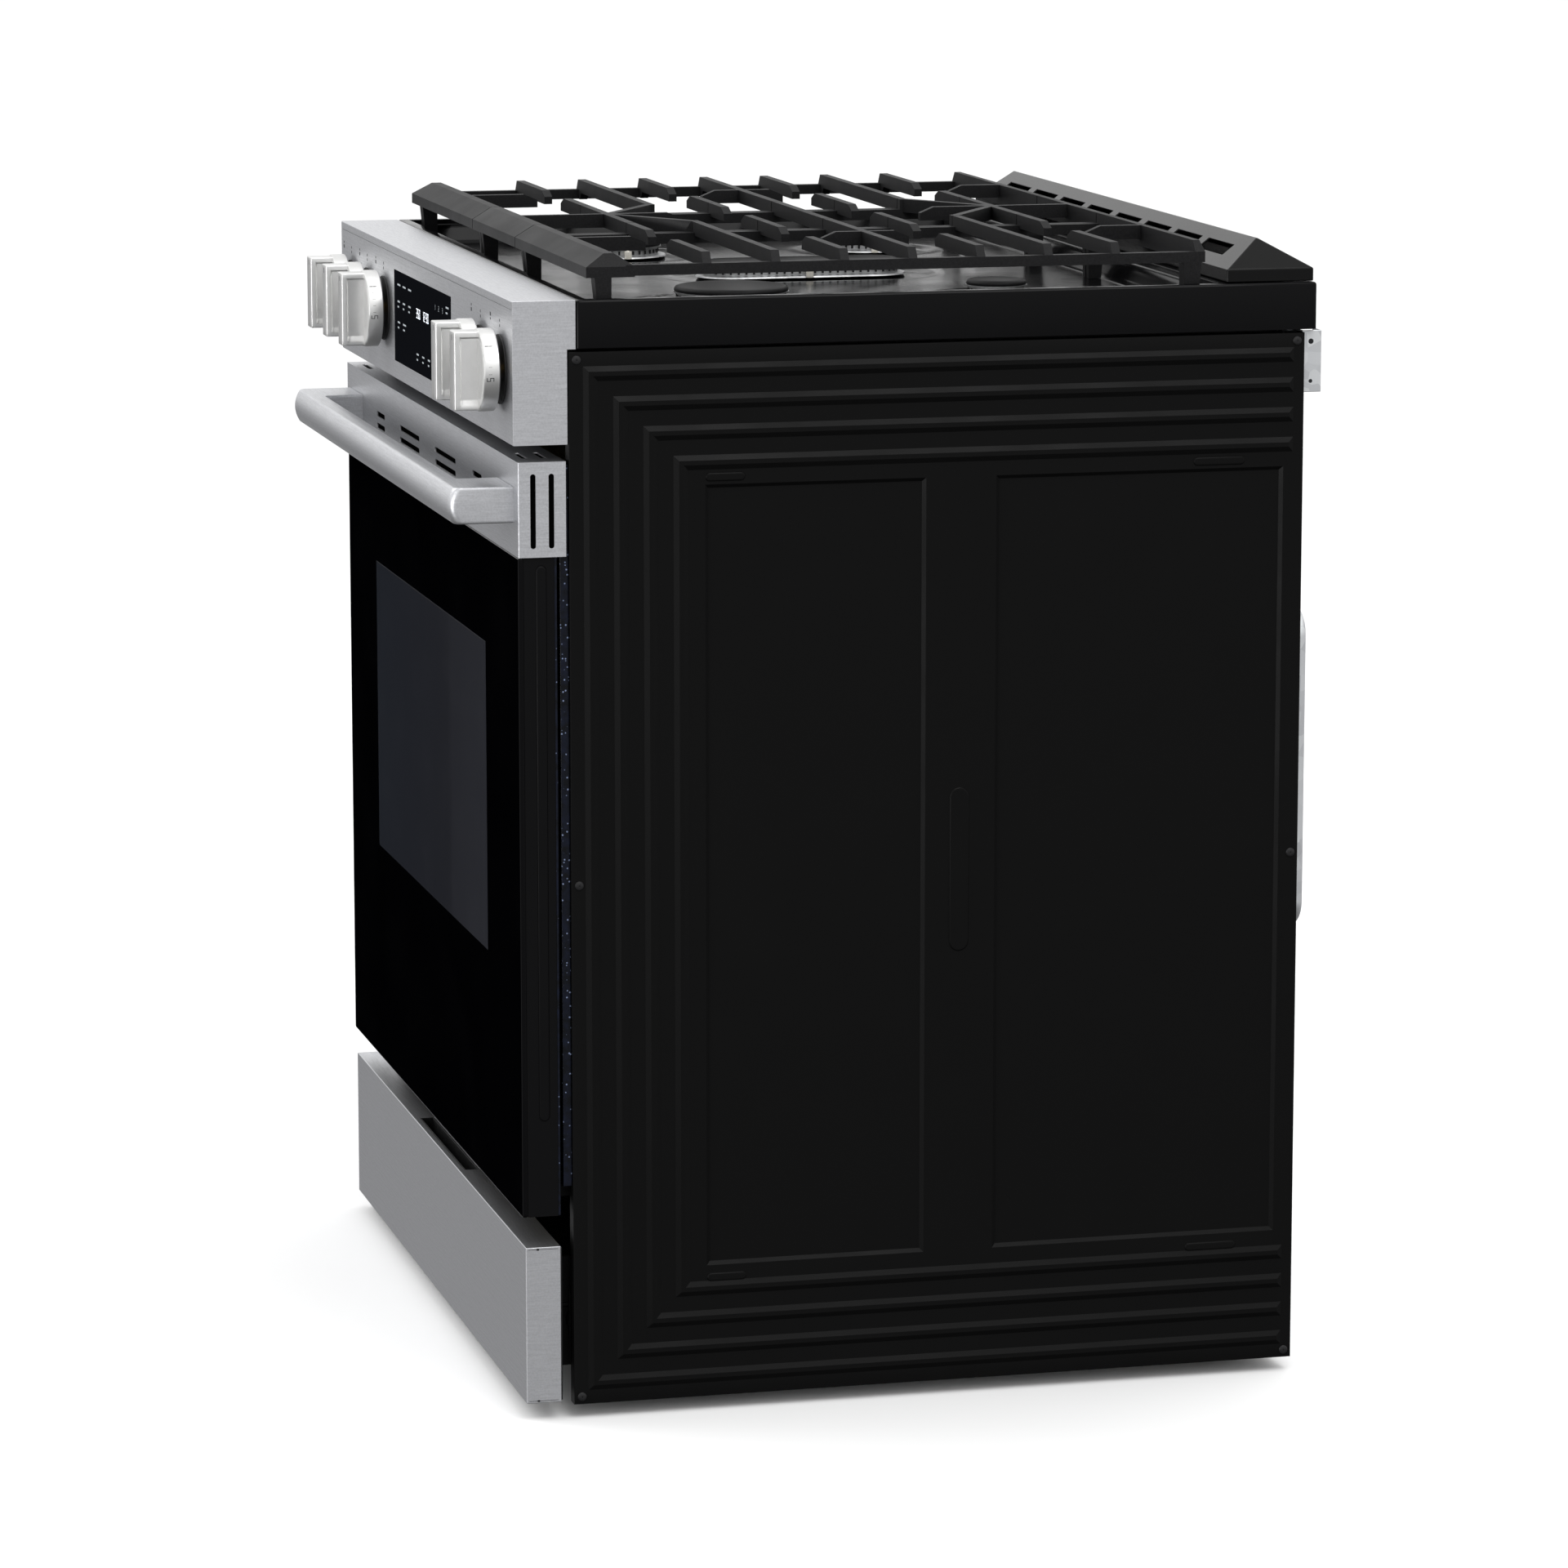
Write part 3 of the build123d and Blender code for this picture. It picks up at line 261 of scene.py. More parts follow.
def heat_tinted_steel():
    """Aluminised burner tube: dull grey, straw-brown where flames have heated it."""
    f = Finish("aluminised_burner_tube", "#6f6a62", 0.5, 0.9)
    f.tone(f.grain(30, 4.0), [(0.3, "#74716c"), (0.55, "#6a5f52"), (0.75, "#4d4a4a")])
    f.relief(f.grain(2.0, 3.0), 0.03, 0.5)
    return f.material


def turned_brass():
    """Brass bar stock turned on a lathe: warm yellow with fine rings of tool marks."""
    f = Finish("turned_brass", "#b9995a", 0.3, 1.0)
    rings = f.grain((60, 0.9, 60), 2.0)
    f.tone(rings, [(0.3, "#a8884c"), (0.7, "#c5a566")])
    f.relief(rings, 0.02, 0.5)
    return f.material


def moulded_plastic():
    """Black heat-resistant plastic with a fine spark-eroded texture from its mould. The same material also
    paints the shade inside the burners' flame ports as small dark blocks.
    """
    f = Finish("black_plastic_and_port_shade", "#101011", 0.5, Specular_IOR_Level=0.35)
    f.gloss(f.grain(8, 2.0), 0.44, 0.56)
    f.relief(f.grain(0.9, 2.0), 0.03, 0.6)
    return f.material


def black_glass(name="black_backed_glass", colour="#020203", level=0.1):
    """Tempered glass screened black on its back: a deep, still black under a clean polish."""
    f = Finish(name, colour, 0.06, Specular_IOR_Level=level)
    f.gloss(f.grain(70, 2.0), 0.05, 0.09)
    f.relief(f.grain(120, 1.0), 0.02, 0.3)
    return f.material


def smoked_pane():
    """The window of the door as an opaque pane: its slate grey is painted shade, the dim oven as seen through
    smoked glass, and it lightens in bands across the door.
    """
    f = Finish("smoked_pane_painted_oven_shade", "#1f2126", 0.08, Specular_IOR_Level=0.12)
    along = add(f.tree, "ShaderNodeSeparateXYZ", {0: f.coords.outputs["Object"]}).outputs[0]
    bands = add(f.tree, "ShaderNodeMapRange", {"Value": along, "From Min": -0.25, "From Max": 0.25}).outputs[0]
    f.tone(bands, [(0.0, "#272a30"), (0.26, "#26282e"), (0.66, "#27282d"), (0.7, "#2c2d32"), (1.0, "#2e2f34")])
    f.gloss(f.grain(50, 2.0), 0.06, 0.12)
    return f.material


def clear_glass():
    """Plain heat-resistant glass: nearly clear, with a faint green-grey body."""
    f = Finish("clear_oven_glass", "#dfe6e4", 0.03, Transmission_Weight=0.92, IOR=1.47)
    f.gloss(f.grain(60, 2.0), 0.02, 0.06)
    return f.material


def glass_braid():
    """Woven glass-fibre cord: grey yarns crossing about every two and a half millimetres."""
    f = Finish("woven_glass_braid", "#4a4a4b", 0.9)
    weave = add(f.tree, "ShaderNodeTexWave", {"Vector": f.coords.outputs["Object"], "Scale": per(2.5) / 6.28,
                                              "Distortion": 2.0}, bands_direction="DIAGONAL").outputs["Fac"]
    f.tone(weave, [(0.2, "#39393a"), (0.8, "#5d5d5e")])
    f.relief(weave, 0.5, 0.8)
    return f.material


def mineral_wool():
    """Mineral wool blanket: yellow-grey fibres in loose tangles."""
    f = Finish("mineral_wool", "#b9ad8a", 0.95)
    tangle = f.grain((9, 3, 2), 5.0)
    f.tone(tangle, [(0.3, "#a1946f"), (0.7, "#cbbf9c")])
    f.relief(tangle, 1.5, 0.8)
    return f.material


def circuit_board():
    """Green solder mask over copper tracks a few millimetres apart."""
    f = Finish("green_circuit_board", "#17512d", 0.35)
    tracks = add(f.tree, "ShaderNodeTexBrick", {
        "Vector": f.coords.outputs["Object"], "Color1": rgba("#17512d"), "Color2": rgba("#1b5c33"),
        "Mortar": rgba("#2c7a47"), "Scale": per(12), "Mortar Size": 0.06})
    f.feed("Base Color", tracks.outputs["Color"])
    return f.material


def glazed_ceramic():
    """White glazed alumina of the igniters, faintly cream and glossy."""
    f = Finish("glazed_ceramic", "#e7e3d8", 0.2)
    f.tone(f.grain(4, 2.0), [(0.3, "#dfdacd"), (0.7, "#efece3")])
    return f.material


def printed_ink(name, colour, glow=0.0):
    """Screen-printed ink: flat and even, with the slightly broken body of a thin film. Also used for flat dark
    painted shade in seams, folds and holes; its glow is real light for the lit clock segments and a painted glow
    on the grey legends.
    """
    f = Finish(name, colour, 0.6, Specular_IOR_Level=0.2)
    base = Vector(rgba(colour)[:3])
    f.tone(f.grain(0.6, 2.0), [(0.3, base * 0.85), (0.7, base)])
    # glow: emitted light, real for the lit clock digits and painted light for the grey legends
    if glow:
        f.shader.inputs["Emission Color"].default_value = rgba(colour)
        f.shader.inputs["Emission Strength"].default_value = glow
    return f.material


def studio_floor():
    """Pale seamless paper: matte, with the faintest unevenness."""
    f = Finish("pale_floor_paper", "#f2f2f2", 0.9, Specular_IOR_Level=0.1)
    f.tone(f.grain(900, 2.0), [(0.3, "#f0f0f0"), (0.7, "#f4f4f4")])
    return f.material


FINISHES = {}


def finish(make, *settings, **more):
    """The one shared material that this function and these settings make."""
    key = (make.__name__, settings, tuple(sorted(more.items())))
    if key not in FINISHES:
        FINISHES[key] = make(*settings, **more)
    return FINISHES[key]


# ---------------------------------------------------------------- mesh helpers

def paint(node, material):
    """Give a CAD node's object one material."""
    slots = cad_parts[node].data.materials
    slots.clear()
    slots.append(material)


def soften(node, width, segments=2, angle=30.0, merge_flats=True):
    """Round a CAD node's edges by this many millimetres with live modifiers; its own mesh stays as it is."""
    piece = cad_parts[node]
    weld = piece.modifiers.new("weld", "WELD")
    weld.merge_threshold = 0.00002
    if merge_flats:
        flat = piece.modifiers.new("flatten", "DECIMATE")
        flat.decimate_type = "DISSOLVE"
        flat.angle_limit = math.radians(1.0)
    bevel = piece.modifiers.new("bevel", "BEVEL")
    bevel.width = width * MM
    bevel.segments = segments
    bevel.limit_method = "ANGLE"
    bevel.angle_limit = math.radians(angle)
    bevel.use_clamp_overlap = True
    bevel.harden_normals = False
    normals = piece.modifiers.new("normals", "WEIGHTED_NORMAL")
    normals.keep_sharp = True


def piece_from(bm, name, body, material, *replaced, slot=None, smooth_angle=30.0):
    """A new piece from a bmesh: normals outward, smooth below the angle, riding on its body."""
    mesh = bpy.data.meshes.new(name)
    bm.to_mesh(mesh)
    bm.free()
    return piece_of(mesh, name, body, material, *replaced, slot=slot, smooth_angle=smooth_angle)


def piece_of(mesh, name, body, material, *replaced, slot=None, smooth_angle=30.0):
    mesh.name = name
    mesh.materials.clear()
    mesh.materials.append(material)
    for face in mesh.polygons:
        face.use_smooth = True
        face.material_index = 0
    mesh.set_sharp_from_angle(angle=math.radians(smooth_angle))
    piece = bpy.data.objects.new(name, mesh)
    bpy.context.scene.collection.objects.link(piece)
    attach(piece, body)
    if replaced:
        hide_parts(*replaced)
    return piece


def brick(bm, low, high):
    """Add a closed box between two corners, in metres."""
    low, high = Vector(low), Vector(high)
    made = bmesh.ops.create_cube(bm, size=1.0)["verts"]
    for vert in made:
        vert.co = Vector([low[i] + (vert.co[i] + 0.5) * (high[i] - low[i]) for i in range(3)])
    return made


def lathe(bm, profile, centre, axis="Z", steps=64):
    """Add a closed turned form from (radius, height) points in metres; it starts and ends on the axis."""
    turn = {"Z": Matrix.Identity(3), "-Y": Euler((math.pi / 2, 0, 0)).to_matrix(),
            "Y": Euler((-math.pi / 2, 0, 0)).to_matrix()}[axis]
    rings = []
    for radius, height in profile:
        if radius == 0:
            rings.append([bm.verts.new(Vector(centre) + turn @ Vector((0, 0, height)))])
            continue
        angles = [2 * math.pi * i / steps for i in range(steps)]
        rings.append([bm.verts.new(Vector(centre) + turn @ Vector((radius * math.cos(a), radius * math.sin(a),
                                                                   height))) for a in angles])
    for lower, upper in zip(rings, rings[1:]):
        for i in range(steps):
            j = (i + 1) % steps
            corners = list(dict.fromkeys((lower[i % len(lower)], lower[j % len(lower)],
                                          upper[j % len(upper)], upper[i % len(upper)])))
            if len(corners) > 2:
                bm.faces.new(corners)


def obround(width, length, steps=8):
    """Points of an obround's outline about its middle, long along the second axis."""
    radius, reach = width / 2, (length - width) / 2
    points = []
    for end in (1, -1):
        for i in range(steps + 1):
            a = math.pi * i / steps + (0 if end > 0 else math.pi)
            points.append((radius * math.cos(a), end * reach + radius * math.sin(a)))
    return points


def bead(bm, place, width, length, height, sunk=0.3 * MM):
    """Add a stamped obround bead; place turns (across, along, up) into a point."""
    rings = []
    for inset, up in ((0, -sunk), (0.0, 0.05 * height), (0.4 * MM, 0.6 * height), (0.9 * MM, 0.93 * height),
                      (1.5 * MM, height), (2.4 * MM, height)):
        outline = obround(width - 2 * inset, length - 2 * inset)
        rings.append([bm.verts.new(place(a, b, up)) for a, b in outline])
    for lower, upper in zip(rings, rings[1:]):
        for i in range(len(lower)):
            j = (i + 1) % len(lower)
            bm.faces.new((lower[i], lower[j], upper[j], upper[i]))
    bm.faces.new(rings[-1])
    bm.faces.new(list(reversed(rings[0])))


def recalc(bm):
    bmesh.ops.recalc_face_normals(bm, faces=bm.faces)


def height_sheet(bm, us, vs, place):
    """Add a grid of quads over two lists of lines; a bent quad is split at the corner whose level is odd."""
    grid = [[bm.verts.new(place(u, v)) for v in vs] for u in us]
    for i in range(len(us) - 1):
        for j in range(len(vs) - 1):
            quad = [grid[i][j], grid[i + 1][j], grid[i + 1][j + 1], grid[i][j + 1]]
            a, b, c, d = quad
            normal = (b.co - a.co).cross(d.co - a.co)
            if abs((c.co - a.co).dot(normal)) <= 1e-12:
                bm.faces.new(quad)
                continue
            levels = [abs(vert.co.x) for vert in quad]
            middle = sorted(levels)[1:3]
            odd = max(range(4), key=lambda k: abs(levels[k] - middle[0]) + abs(levels[k] - middle[1]))
            corners = quad[odd:] + quad[:odd]
            bm.faces.new(corners[:3])
            bm.faces.new((corners[0], corners[2], corners[3]))


def lines(*spans):
    """Sorted grid lines from lists of places, none closer than a hundredth of a millimetre."""
    every = sorted(v for span in spans for v in span)
    kept = [every[0]]
    for value in every[1:]:
        if value - kept[-1] > 0.00001:
            kept.append(value)
    return kept


# ---------------------------------------------------------------- user settings

class RangeSizes(bpy.types.PropertyGroup):
    rib_height: FloatProperty(name="Rib height", description="How far the side panels' ribs stand out",
                              default=2.2 * MM, unit="LENGTH")
    rib_pitch: FloatProperty(name="Rib pitch", description="From one nested rib to the next",
                             default=24.45 * MM, unit="LENGTH")
    panel_depth: FloatProperty(name="Panel depth", description="Depth of the stamped fields in the side panels",
                               default=2.6 * MM, unit="LENGTH")
    well_depth: FloatProperty(name="Well depth", description="Depth of the dished rings round the burners",
                              default=2.6 * MM, unit="LENGTH")
    edge: FloatProperty(name="Sheet edge", description="Radius of folded sheet edges",
                        default=0.7 * MM, unit="LENGTH")
    flame_ports: IntProperty(name="Flame ports", description="Ports round the widest burner",
                             default=44, min=8)
    louvres: IntProperty(name="Louvres", description="Louvres in each group on the rear panel",
                         default=9, min=1)


class RangeColours(bpy.types.PropertyGroup):
    steel: FloatVectorProperty(name="Steel", description="Brushed steel", subtype="COLOR",
                               default=linear("#c2c3c6"))
    digits: FloatVectorProperty(name="Digits", description="Lit digits of the clock", subtype="COLOR",
                                default=linear("#eef3fa"))


def sizes():
    return bpy.context.scene.range_sizes


def steel():
    return finish(brushed_stainless, tuple(bpy.context.scene.range_colours.steel))


# ---------------------------------------------------------------- side panels

def rib_profile(inset, first, pitch, height):
    """Height of the nested ribs at a distance from the panel's edge."""
    slope, width = 4.2 * MM, 12.0 * MM
    for number in range(4):
        start = first + number * pitch
        if start <= inset <= start + width:
            return height * min(1.0, (inset - start) / slope, (start + width - inset) / slope)
    return 0.0


def side_panel_mesh(low, high, side):
    """One side panel: nested ribs open to the back, two sunk fields and turned flanges."""
    s = sizes()
    first, width, slope = 11.7 * MM, 12.0 * MM, 4.2 * MM
    front, back, bottom, top = low.y, high.y, low.z, high.z
    rib_end = back - 9 * MM
    fields = [(front + 111 * MM, front + 294 * MM), (front + 352.6 * MM, front + 596 * MM)]
    field_z = (bottom + 110 * MM, bottom + 751 * MM)
    drop, wall = s.panel_depth, 3.0 * MM

    def field_depth(y, z):
        deepest = 0.0
        for start, end in fields:
            inset = min(y - start, end - y, z - field_z[0], field_z[1] - z)
            deepest = max(deepest, drop * max(0.0, min(1.0, inset / wall)))
        return deepest

    def place(y, z):
        inset = min(y - front, z - bottom, top - z)
        fade = max(0.0, min(1.0, (rib_end - y) / slope))
        lift = min(fade * s.rib_height, rib_profile(inset, first, s.rib_pitch, s.rib_height))
        return Vector((side * (high.x + lift - field_depth(y, z)), y, z))

    marks = [first + n * s.rib_pitch + part for n in range(4) for part in (0, slope, width - slope, width)]
    ys = lines([front, back, rib_end, rib_end - slope], [front + m for m in marks],
               [v for start, end in fields for v in (start, start + wall, end - wall, end)])
    zs = lines([bottom, top], [bottom + m for m in marks], [top - m for m in marks],
               [field_z[0], field_z[0] + wall, field_z[1] - wall, field_z[1]])
    bm = bmesh.new()
    height_sheet(bm, ys, zs, place)
    rim = [e for e in bm.edges if e.is_boundary]
    turned = bmesh.ops.extrude_edge_only(bm, edges=rim)["geom"]
    for item in turned:
        if isinstance(item, bmesh.types.BMVert):
            item.co.x = side * (high.x - 13 * MM)
    recalc(bm)
    outward = sum(f.normal.x * f.calc_area() for f in bm.faces) * side
    if outward < 0:
        bmesh.ops.reverse_faces(bm, faces=bm.faces)
    bmesh.ops.bevel(bm, geom=rim, offset=1.0 * MM, segments=3, affect="EDGES", profile=0.5)
    bmesh.ops.solidify(bm, geom=bm.faces[:], thickness=1.0 * MM)
    middle = (bottom + top) / 2
    stamps = [(front + 322.7 * MM, middle - 1.0 * MM, 16.5, 136.0, True),
              (front + 127.5 * MM, top - 103 * MM, 7.0, 33.0, False),
              (front + 541.0 * MM, top - 103 * MM, 7.0, 44.0, False),
              (front + 127.5 * MM, bottom + 100 * MM, 7.0, 33.0, False),
              (front + 541.0 * MM, bottom + 100 * MM, 7.0, 44.0, False)]
    for y, z, wide, long, upright in stamps:
        def on_panel(a, b, up, y=y, z=z, upright=upright):
            across, along = (a, b) if upright else (b, a)
            return Vector((side * (high.x + up), y + across, z + along))
        stamp = bmesh.new()
        bead(stamp, on_panel, wide * MM, long * MM, 1.0 * MM)
        recalc(stamp)
        merge(bm, stamp)
    return bm


def merge(bm, other):
    """Add one bmesh's faces to another and free it."""
    mesh = bpy.data.meshes.new("scratch")
    other.to_mesh(mesh)
    other.free()
    bm.from_mesh(mesh)
    bpy.data.meshes.remove(mesh)


class RANGE_OT_side_panels(bpy.types.Operator):
    """Stamped black side panels with nested ribs and sunk fields"""
    bl_idname = "range_finish.side_panels"
    bl_label = "Side panels"

    def execute(self, context):
        low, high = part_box("side_panel_right")
        for side, name in ((1, "right"), (-1, "left")):
            bm = side_panel_mesh(low, high, side)
            piece_from(bm, f"stamped_side_{name}", RANGE,
                       finish(powder_coat, "powder_coated_side", "#0b0b0b", 0.38, 0.065),
                       f"side_panel_{name}", slot="black_paint", smooth_angle=20)
        return {"FINISHED"}


# ---------------------------------------------------------------- cooktop

def burner_places():
    """Middle, radius and half stretch of each burner, from the caps' own mesh."""
    points = np.array([v.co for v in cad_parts["burner_caps"].data.vertices])
    low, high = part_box("burner_caps")
    groups = [("left_front", points[:, 0] < -0.12, 1), ("left_rear", points[:, 0] < -0.12, -1),
              ("right_front", points[:, 0] > 0.12, 1), ("right_rear", points[:, 0] > 0.12, -1),
              ("centre", abs(points[:, 0]) < 0.12, 0)]
    split = (low.y + high.y) / 2
    places = {}
    for name, mask, half in groups:
        chosen = points[mask]
        if half:
            chosen = chosen[(chosen[:, 1] < split) == (half > 0)]
        near, far = chosen.min(0), chosen.max(0)
        radius = (far[0] - near[0]) / 2
        places[name] = (Vector(((far[0] + near[0]) / 2, (far[1] + near[1]) / 2, 0)), radius,
                        (far[1] - near[1]) / 2 - radius)
    return places


def smooth(t):
    t = max(0.0, min(1.0, t))
    return t * t * (3 - 2 * t)


class RANGE_OT_cooktop(bpy.types.Operator):
    """Drawn enamel pan with a raised rim, a sunken deck and dished burner wells"""
    bl_idname = "range_finish.cooktop"
    bl_label = "Cooktop"

    def execute(self, context):
        low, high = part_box("cooktop")
        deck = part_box("grate_centre")[0].z - 0.2 * MM
        back_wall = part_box("vent_trim")[0].y - 6.5 * MM
        rim, lip, slope = 9.0 * MM, 3.0 * MM, 10.0 * MM
        depth = sizes().well_depth
        burners = burner_places().values()

        def well(x, y):
            dip = 0.0
            for middle, radius, stretch in burners:
                away = max(0.0, abs(y - middle.y) - stretch)
                gap = math.hypot(x - middle.x, away) - radius
                inner, outer = smooth((gap + 2 * MM) / (9 * MM)), smooth((34 * MM - gap) / (9 * MM))
                dip = max(dip, depth * min(inner, outer))
            return dip

        def place(x, y):
            inset = min(x - low.x, high.x - x, y - low.y, back_wall + rim - y)
            if inset <= rim:
                return Vector((x, y, high.z))
            if inset <= rim + lip:
                return Vector((x, y, high.z - 4 * MM * smooth((inset - rim) / lip)))
            fall = smooth((inset - rim - lip - 1.5 * MM) / slope)
            return Vector((x, y, high.z - 4 * MM - (high.z - 4 * MM - deck) * fall - well(x, y) * (fall >= 1)))

        steps = [0, rim, rim + lip / 3, rim + lip / 1.5, rim + lip] + [
            rim + lip + 1.5 * MM + slope * i / 6 for i in range(7)]
        xs = lines([low.x + s for s in steps], [high.x - s for s in steps],
                   np.linspace(low.x + 30 * MM, high.x - 30 * MM, 122))
        ys = lines([low.y + s for s in steps], [back_wall + rim - s for s in steps], [high.y],
                   np.linspace(low.y + 30 * MM, back_wall - 22 * MM, 84))
        bm = bmesh.new()
        grid = [[bm.verts.new(place(x, y)) for y in ys] for x in xs]
        for i in range(len(xs) - 1):
            for j in range(len(ys) - 1):
                bm.faces.new((grid[i][j], grid[i + 1][j], grid[i + 1][j + 1], grid[i][j + 1]))
        rim_edges = [e for e in bm.edges if e.is_boundary]
        skirt = bmesh.ops.extrude_edge_only(bm, edges=rim_edges)["geom"]
        for item in skirt:
            if isinstance(item, bmesh.types.BMVert):
                item.co.z = low.z
        recalc(bm)
        if sum(f.normal.z * f.calc_area() for f in bm.faces) < 0:
            bmesh.ops.reverse_faces(bm, faces=bm.faces)
        corners = [e for e in bm.edges if abs(e.verts[0].co.z - e.verts[1].co.z) > 20 * MM
                   and min(abs(e.verts[0].co.x - low.x), abs(e.verts[0].co.x - high.x)) < 1e-6
                   and min(abs(e.verts[0].co.y - low.y), abs(e.verts[0].co.y - high.y)) < 1e-6]
        bmesh.ops.bevel(bm, geom=corners + rim_edges, offset=2.4 * MM, segments=3, affect="EDGES", profile=0.5)
        bmesh.ops.solidify(bm, geom=bm.faces[:], thickness=1.2 * MM)
        piece_from(bm, "enamel_cooktop", RANGE, finish(gloss_enamel), "cooktop", slot="black_enamel",
                   smooth_angle=35)
        return {"FINISHED"}


# ---------------------------------------------------------------- repeats by geometry nodes

def start_tree(name, **inputs):
    """A tree with a geometry in and out, these further inputs, and the Item that it repeats."""
    tree = bpy.data.node_groups.new(name, "GeometryNodeTree")
    face = tree.interface
    face.new_socket("Geometry", in_out="INPUT", socket_type="NodeSocketGeometry")
    for label, kind in {"Item": "Object", **inputs, "Finish": "Material"}.items():
        face.new_socket(label, in_out="INPUT", socket_type="NodeSocket" + kind)
    face.new_socket("Geometry", in_out="OUTPUT", socket_type="NodeSocketGeometry")
    given = add(tree, "NodeGroupInput").outputs
    item = add(tree, "GeometryNodeObjectInfo", {"Object": given["Item"]}, transform_space="RELATIVE")
    return tree, given, item.outputs["Geometry"]


def end_tree(tree, given, item, points, rotation):
    """Set the item on the points, make it real and give it its material."""
    spread = add(tree, "GeometryNodeInstanceOnPoints",
                 {"Points": points, "Instance": item, "Rotation": rotation})
    solid = add(tree, "GeometryNodeRealizeInstances", {0: spread.outputs[0]})
    dressed = add(tree, "GeometryNodeSetMaterial", {"Geometry": solid.outputs[0], "Material": given["Finish"]})
    add(tree, "NodeGroupOutput", {0: dressed.outputs[0]})
    return tree


def instance_tree(name):
    """A tree that repeats its Item evenly along its curve, turned to the curve."""
    tree, given, item = start_tree(name, Count="Int")
    points = add(tree, "GeometryNodeCurveToPoints", {"Curve": given["Geometry"], "Count": given["Count"]},
                 mode="COUNT")
    return end_tree(tree, given, item, points.outputs["Points"], points.outputs["Rotation"])


def point_tree(name):
    """A tree that sets its Item on every vertex of its mesh, with one turn and a seeded random twist."""
    tree, given, item = start_tree(name, Turn="Rotation", Twist="Float")
    twist = add(tree, "FunctionNodeRandomValue", {2: 0.0, 3: given["Twist"], "Seed": 7}, data_type="FLOAT")
    spin = add(tree, "ShaderNodeCombineXYZ", {2: twist.outputs[1]})
    spun = add(tree, "FunctionNodeEulerToRotation", {0: spin.outputs[0]})
    turned = add(tree, "FunctionNodeRotateRotation", {0: given["Turn"], 1: spun.outputs[0]},
                 rotation_space="LOCAL")
    return end_tree(tree, given, item, given["Geometry"], turned.outputs[0])


def grow(carrier, tree, **values):
    """Run a tree on a carrier object and return the plain mesh it makes; the carrier is removed."""
    modifier = carrier.modifiers.new("repeat", "NODES")
    modifier.node_group = tree
    for socket in tree.interface.items_tree:
        if socket.in_out == "INPUT" and socket.name in values:
            modifier[socket.identifier] = values[socket.name]
    carrier.update_tag()
    graph = bpy.context.evaluated_depsgraph_get()
    graph.update()
    mesh = bpy.data.meshes.new_from_object(carrier.evaluated_get(graph))
    bpy.data.objects.remove(carrier)
    return mesh


def scratch_object(name, data):
    made = bpy.data.objects.new(name, data)
    bpy.context.scene.collection.objects.link(made)
    return made


def scratch_mesh(name, bm):
    recalc(bm)
    mesh = bpy.data.meshes.new(name)
    bm.to_mesh(mesh)
    bm.free()
    return scratch_object(name, mesh)


def loop_curve(name, points):
    """A closed poly curve through these points."""
    curve = bpy.data.curves.new(name, "CURVE")
    curve.dimensions = "3D"
    spline = curve.splines.new("POLY")
    spline.points.add(len(points) - 1)
    for point, place in zip(spline.points, points):
        point.co = (*place, 1)
    spline.use_cyclic_u = True
    return scratch_object(name, curve)


def at_points(name, places, item, turn, body, material, twist=0.0, slot=None, replaced=()):
    """A piece with one copy of item at each place."""
    bm = bmesh.new()
    for place in places:
        bm.verts.new(place)
    mesh = bpy.data.meshes.new(name)
    bm.to_mesh(mesh)
    bm.free()
    carrier = scratch_object(name + "_points", mesh)
    grown = grow(carrier, point_tree(name), Item=item, Turn=turn, Twist=twist, Finish=material)
    return piece_of(grown, name, body, material, *replaced, slot=slot)


# ---------------------------------------------------------------- burners

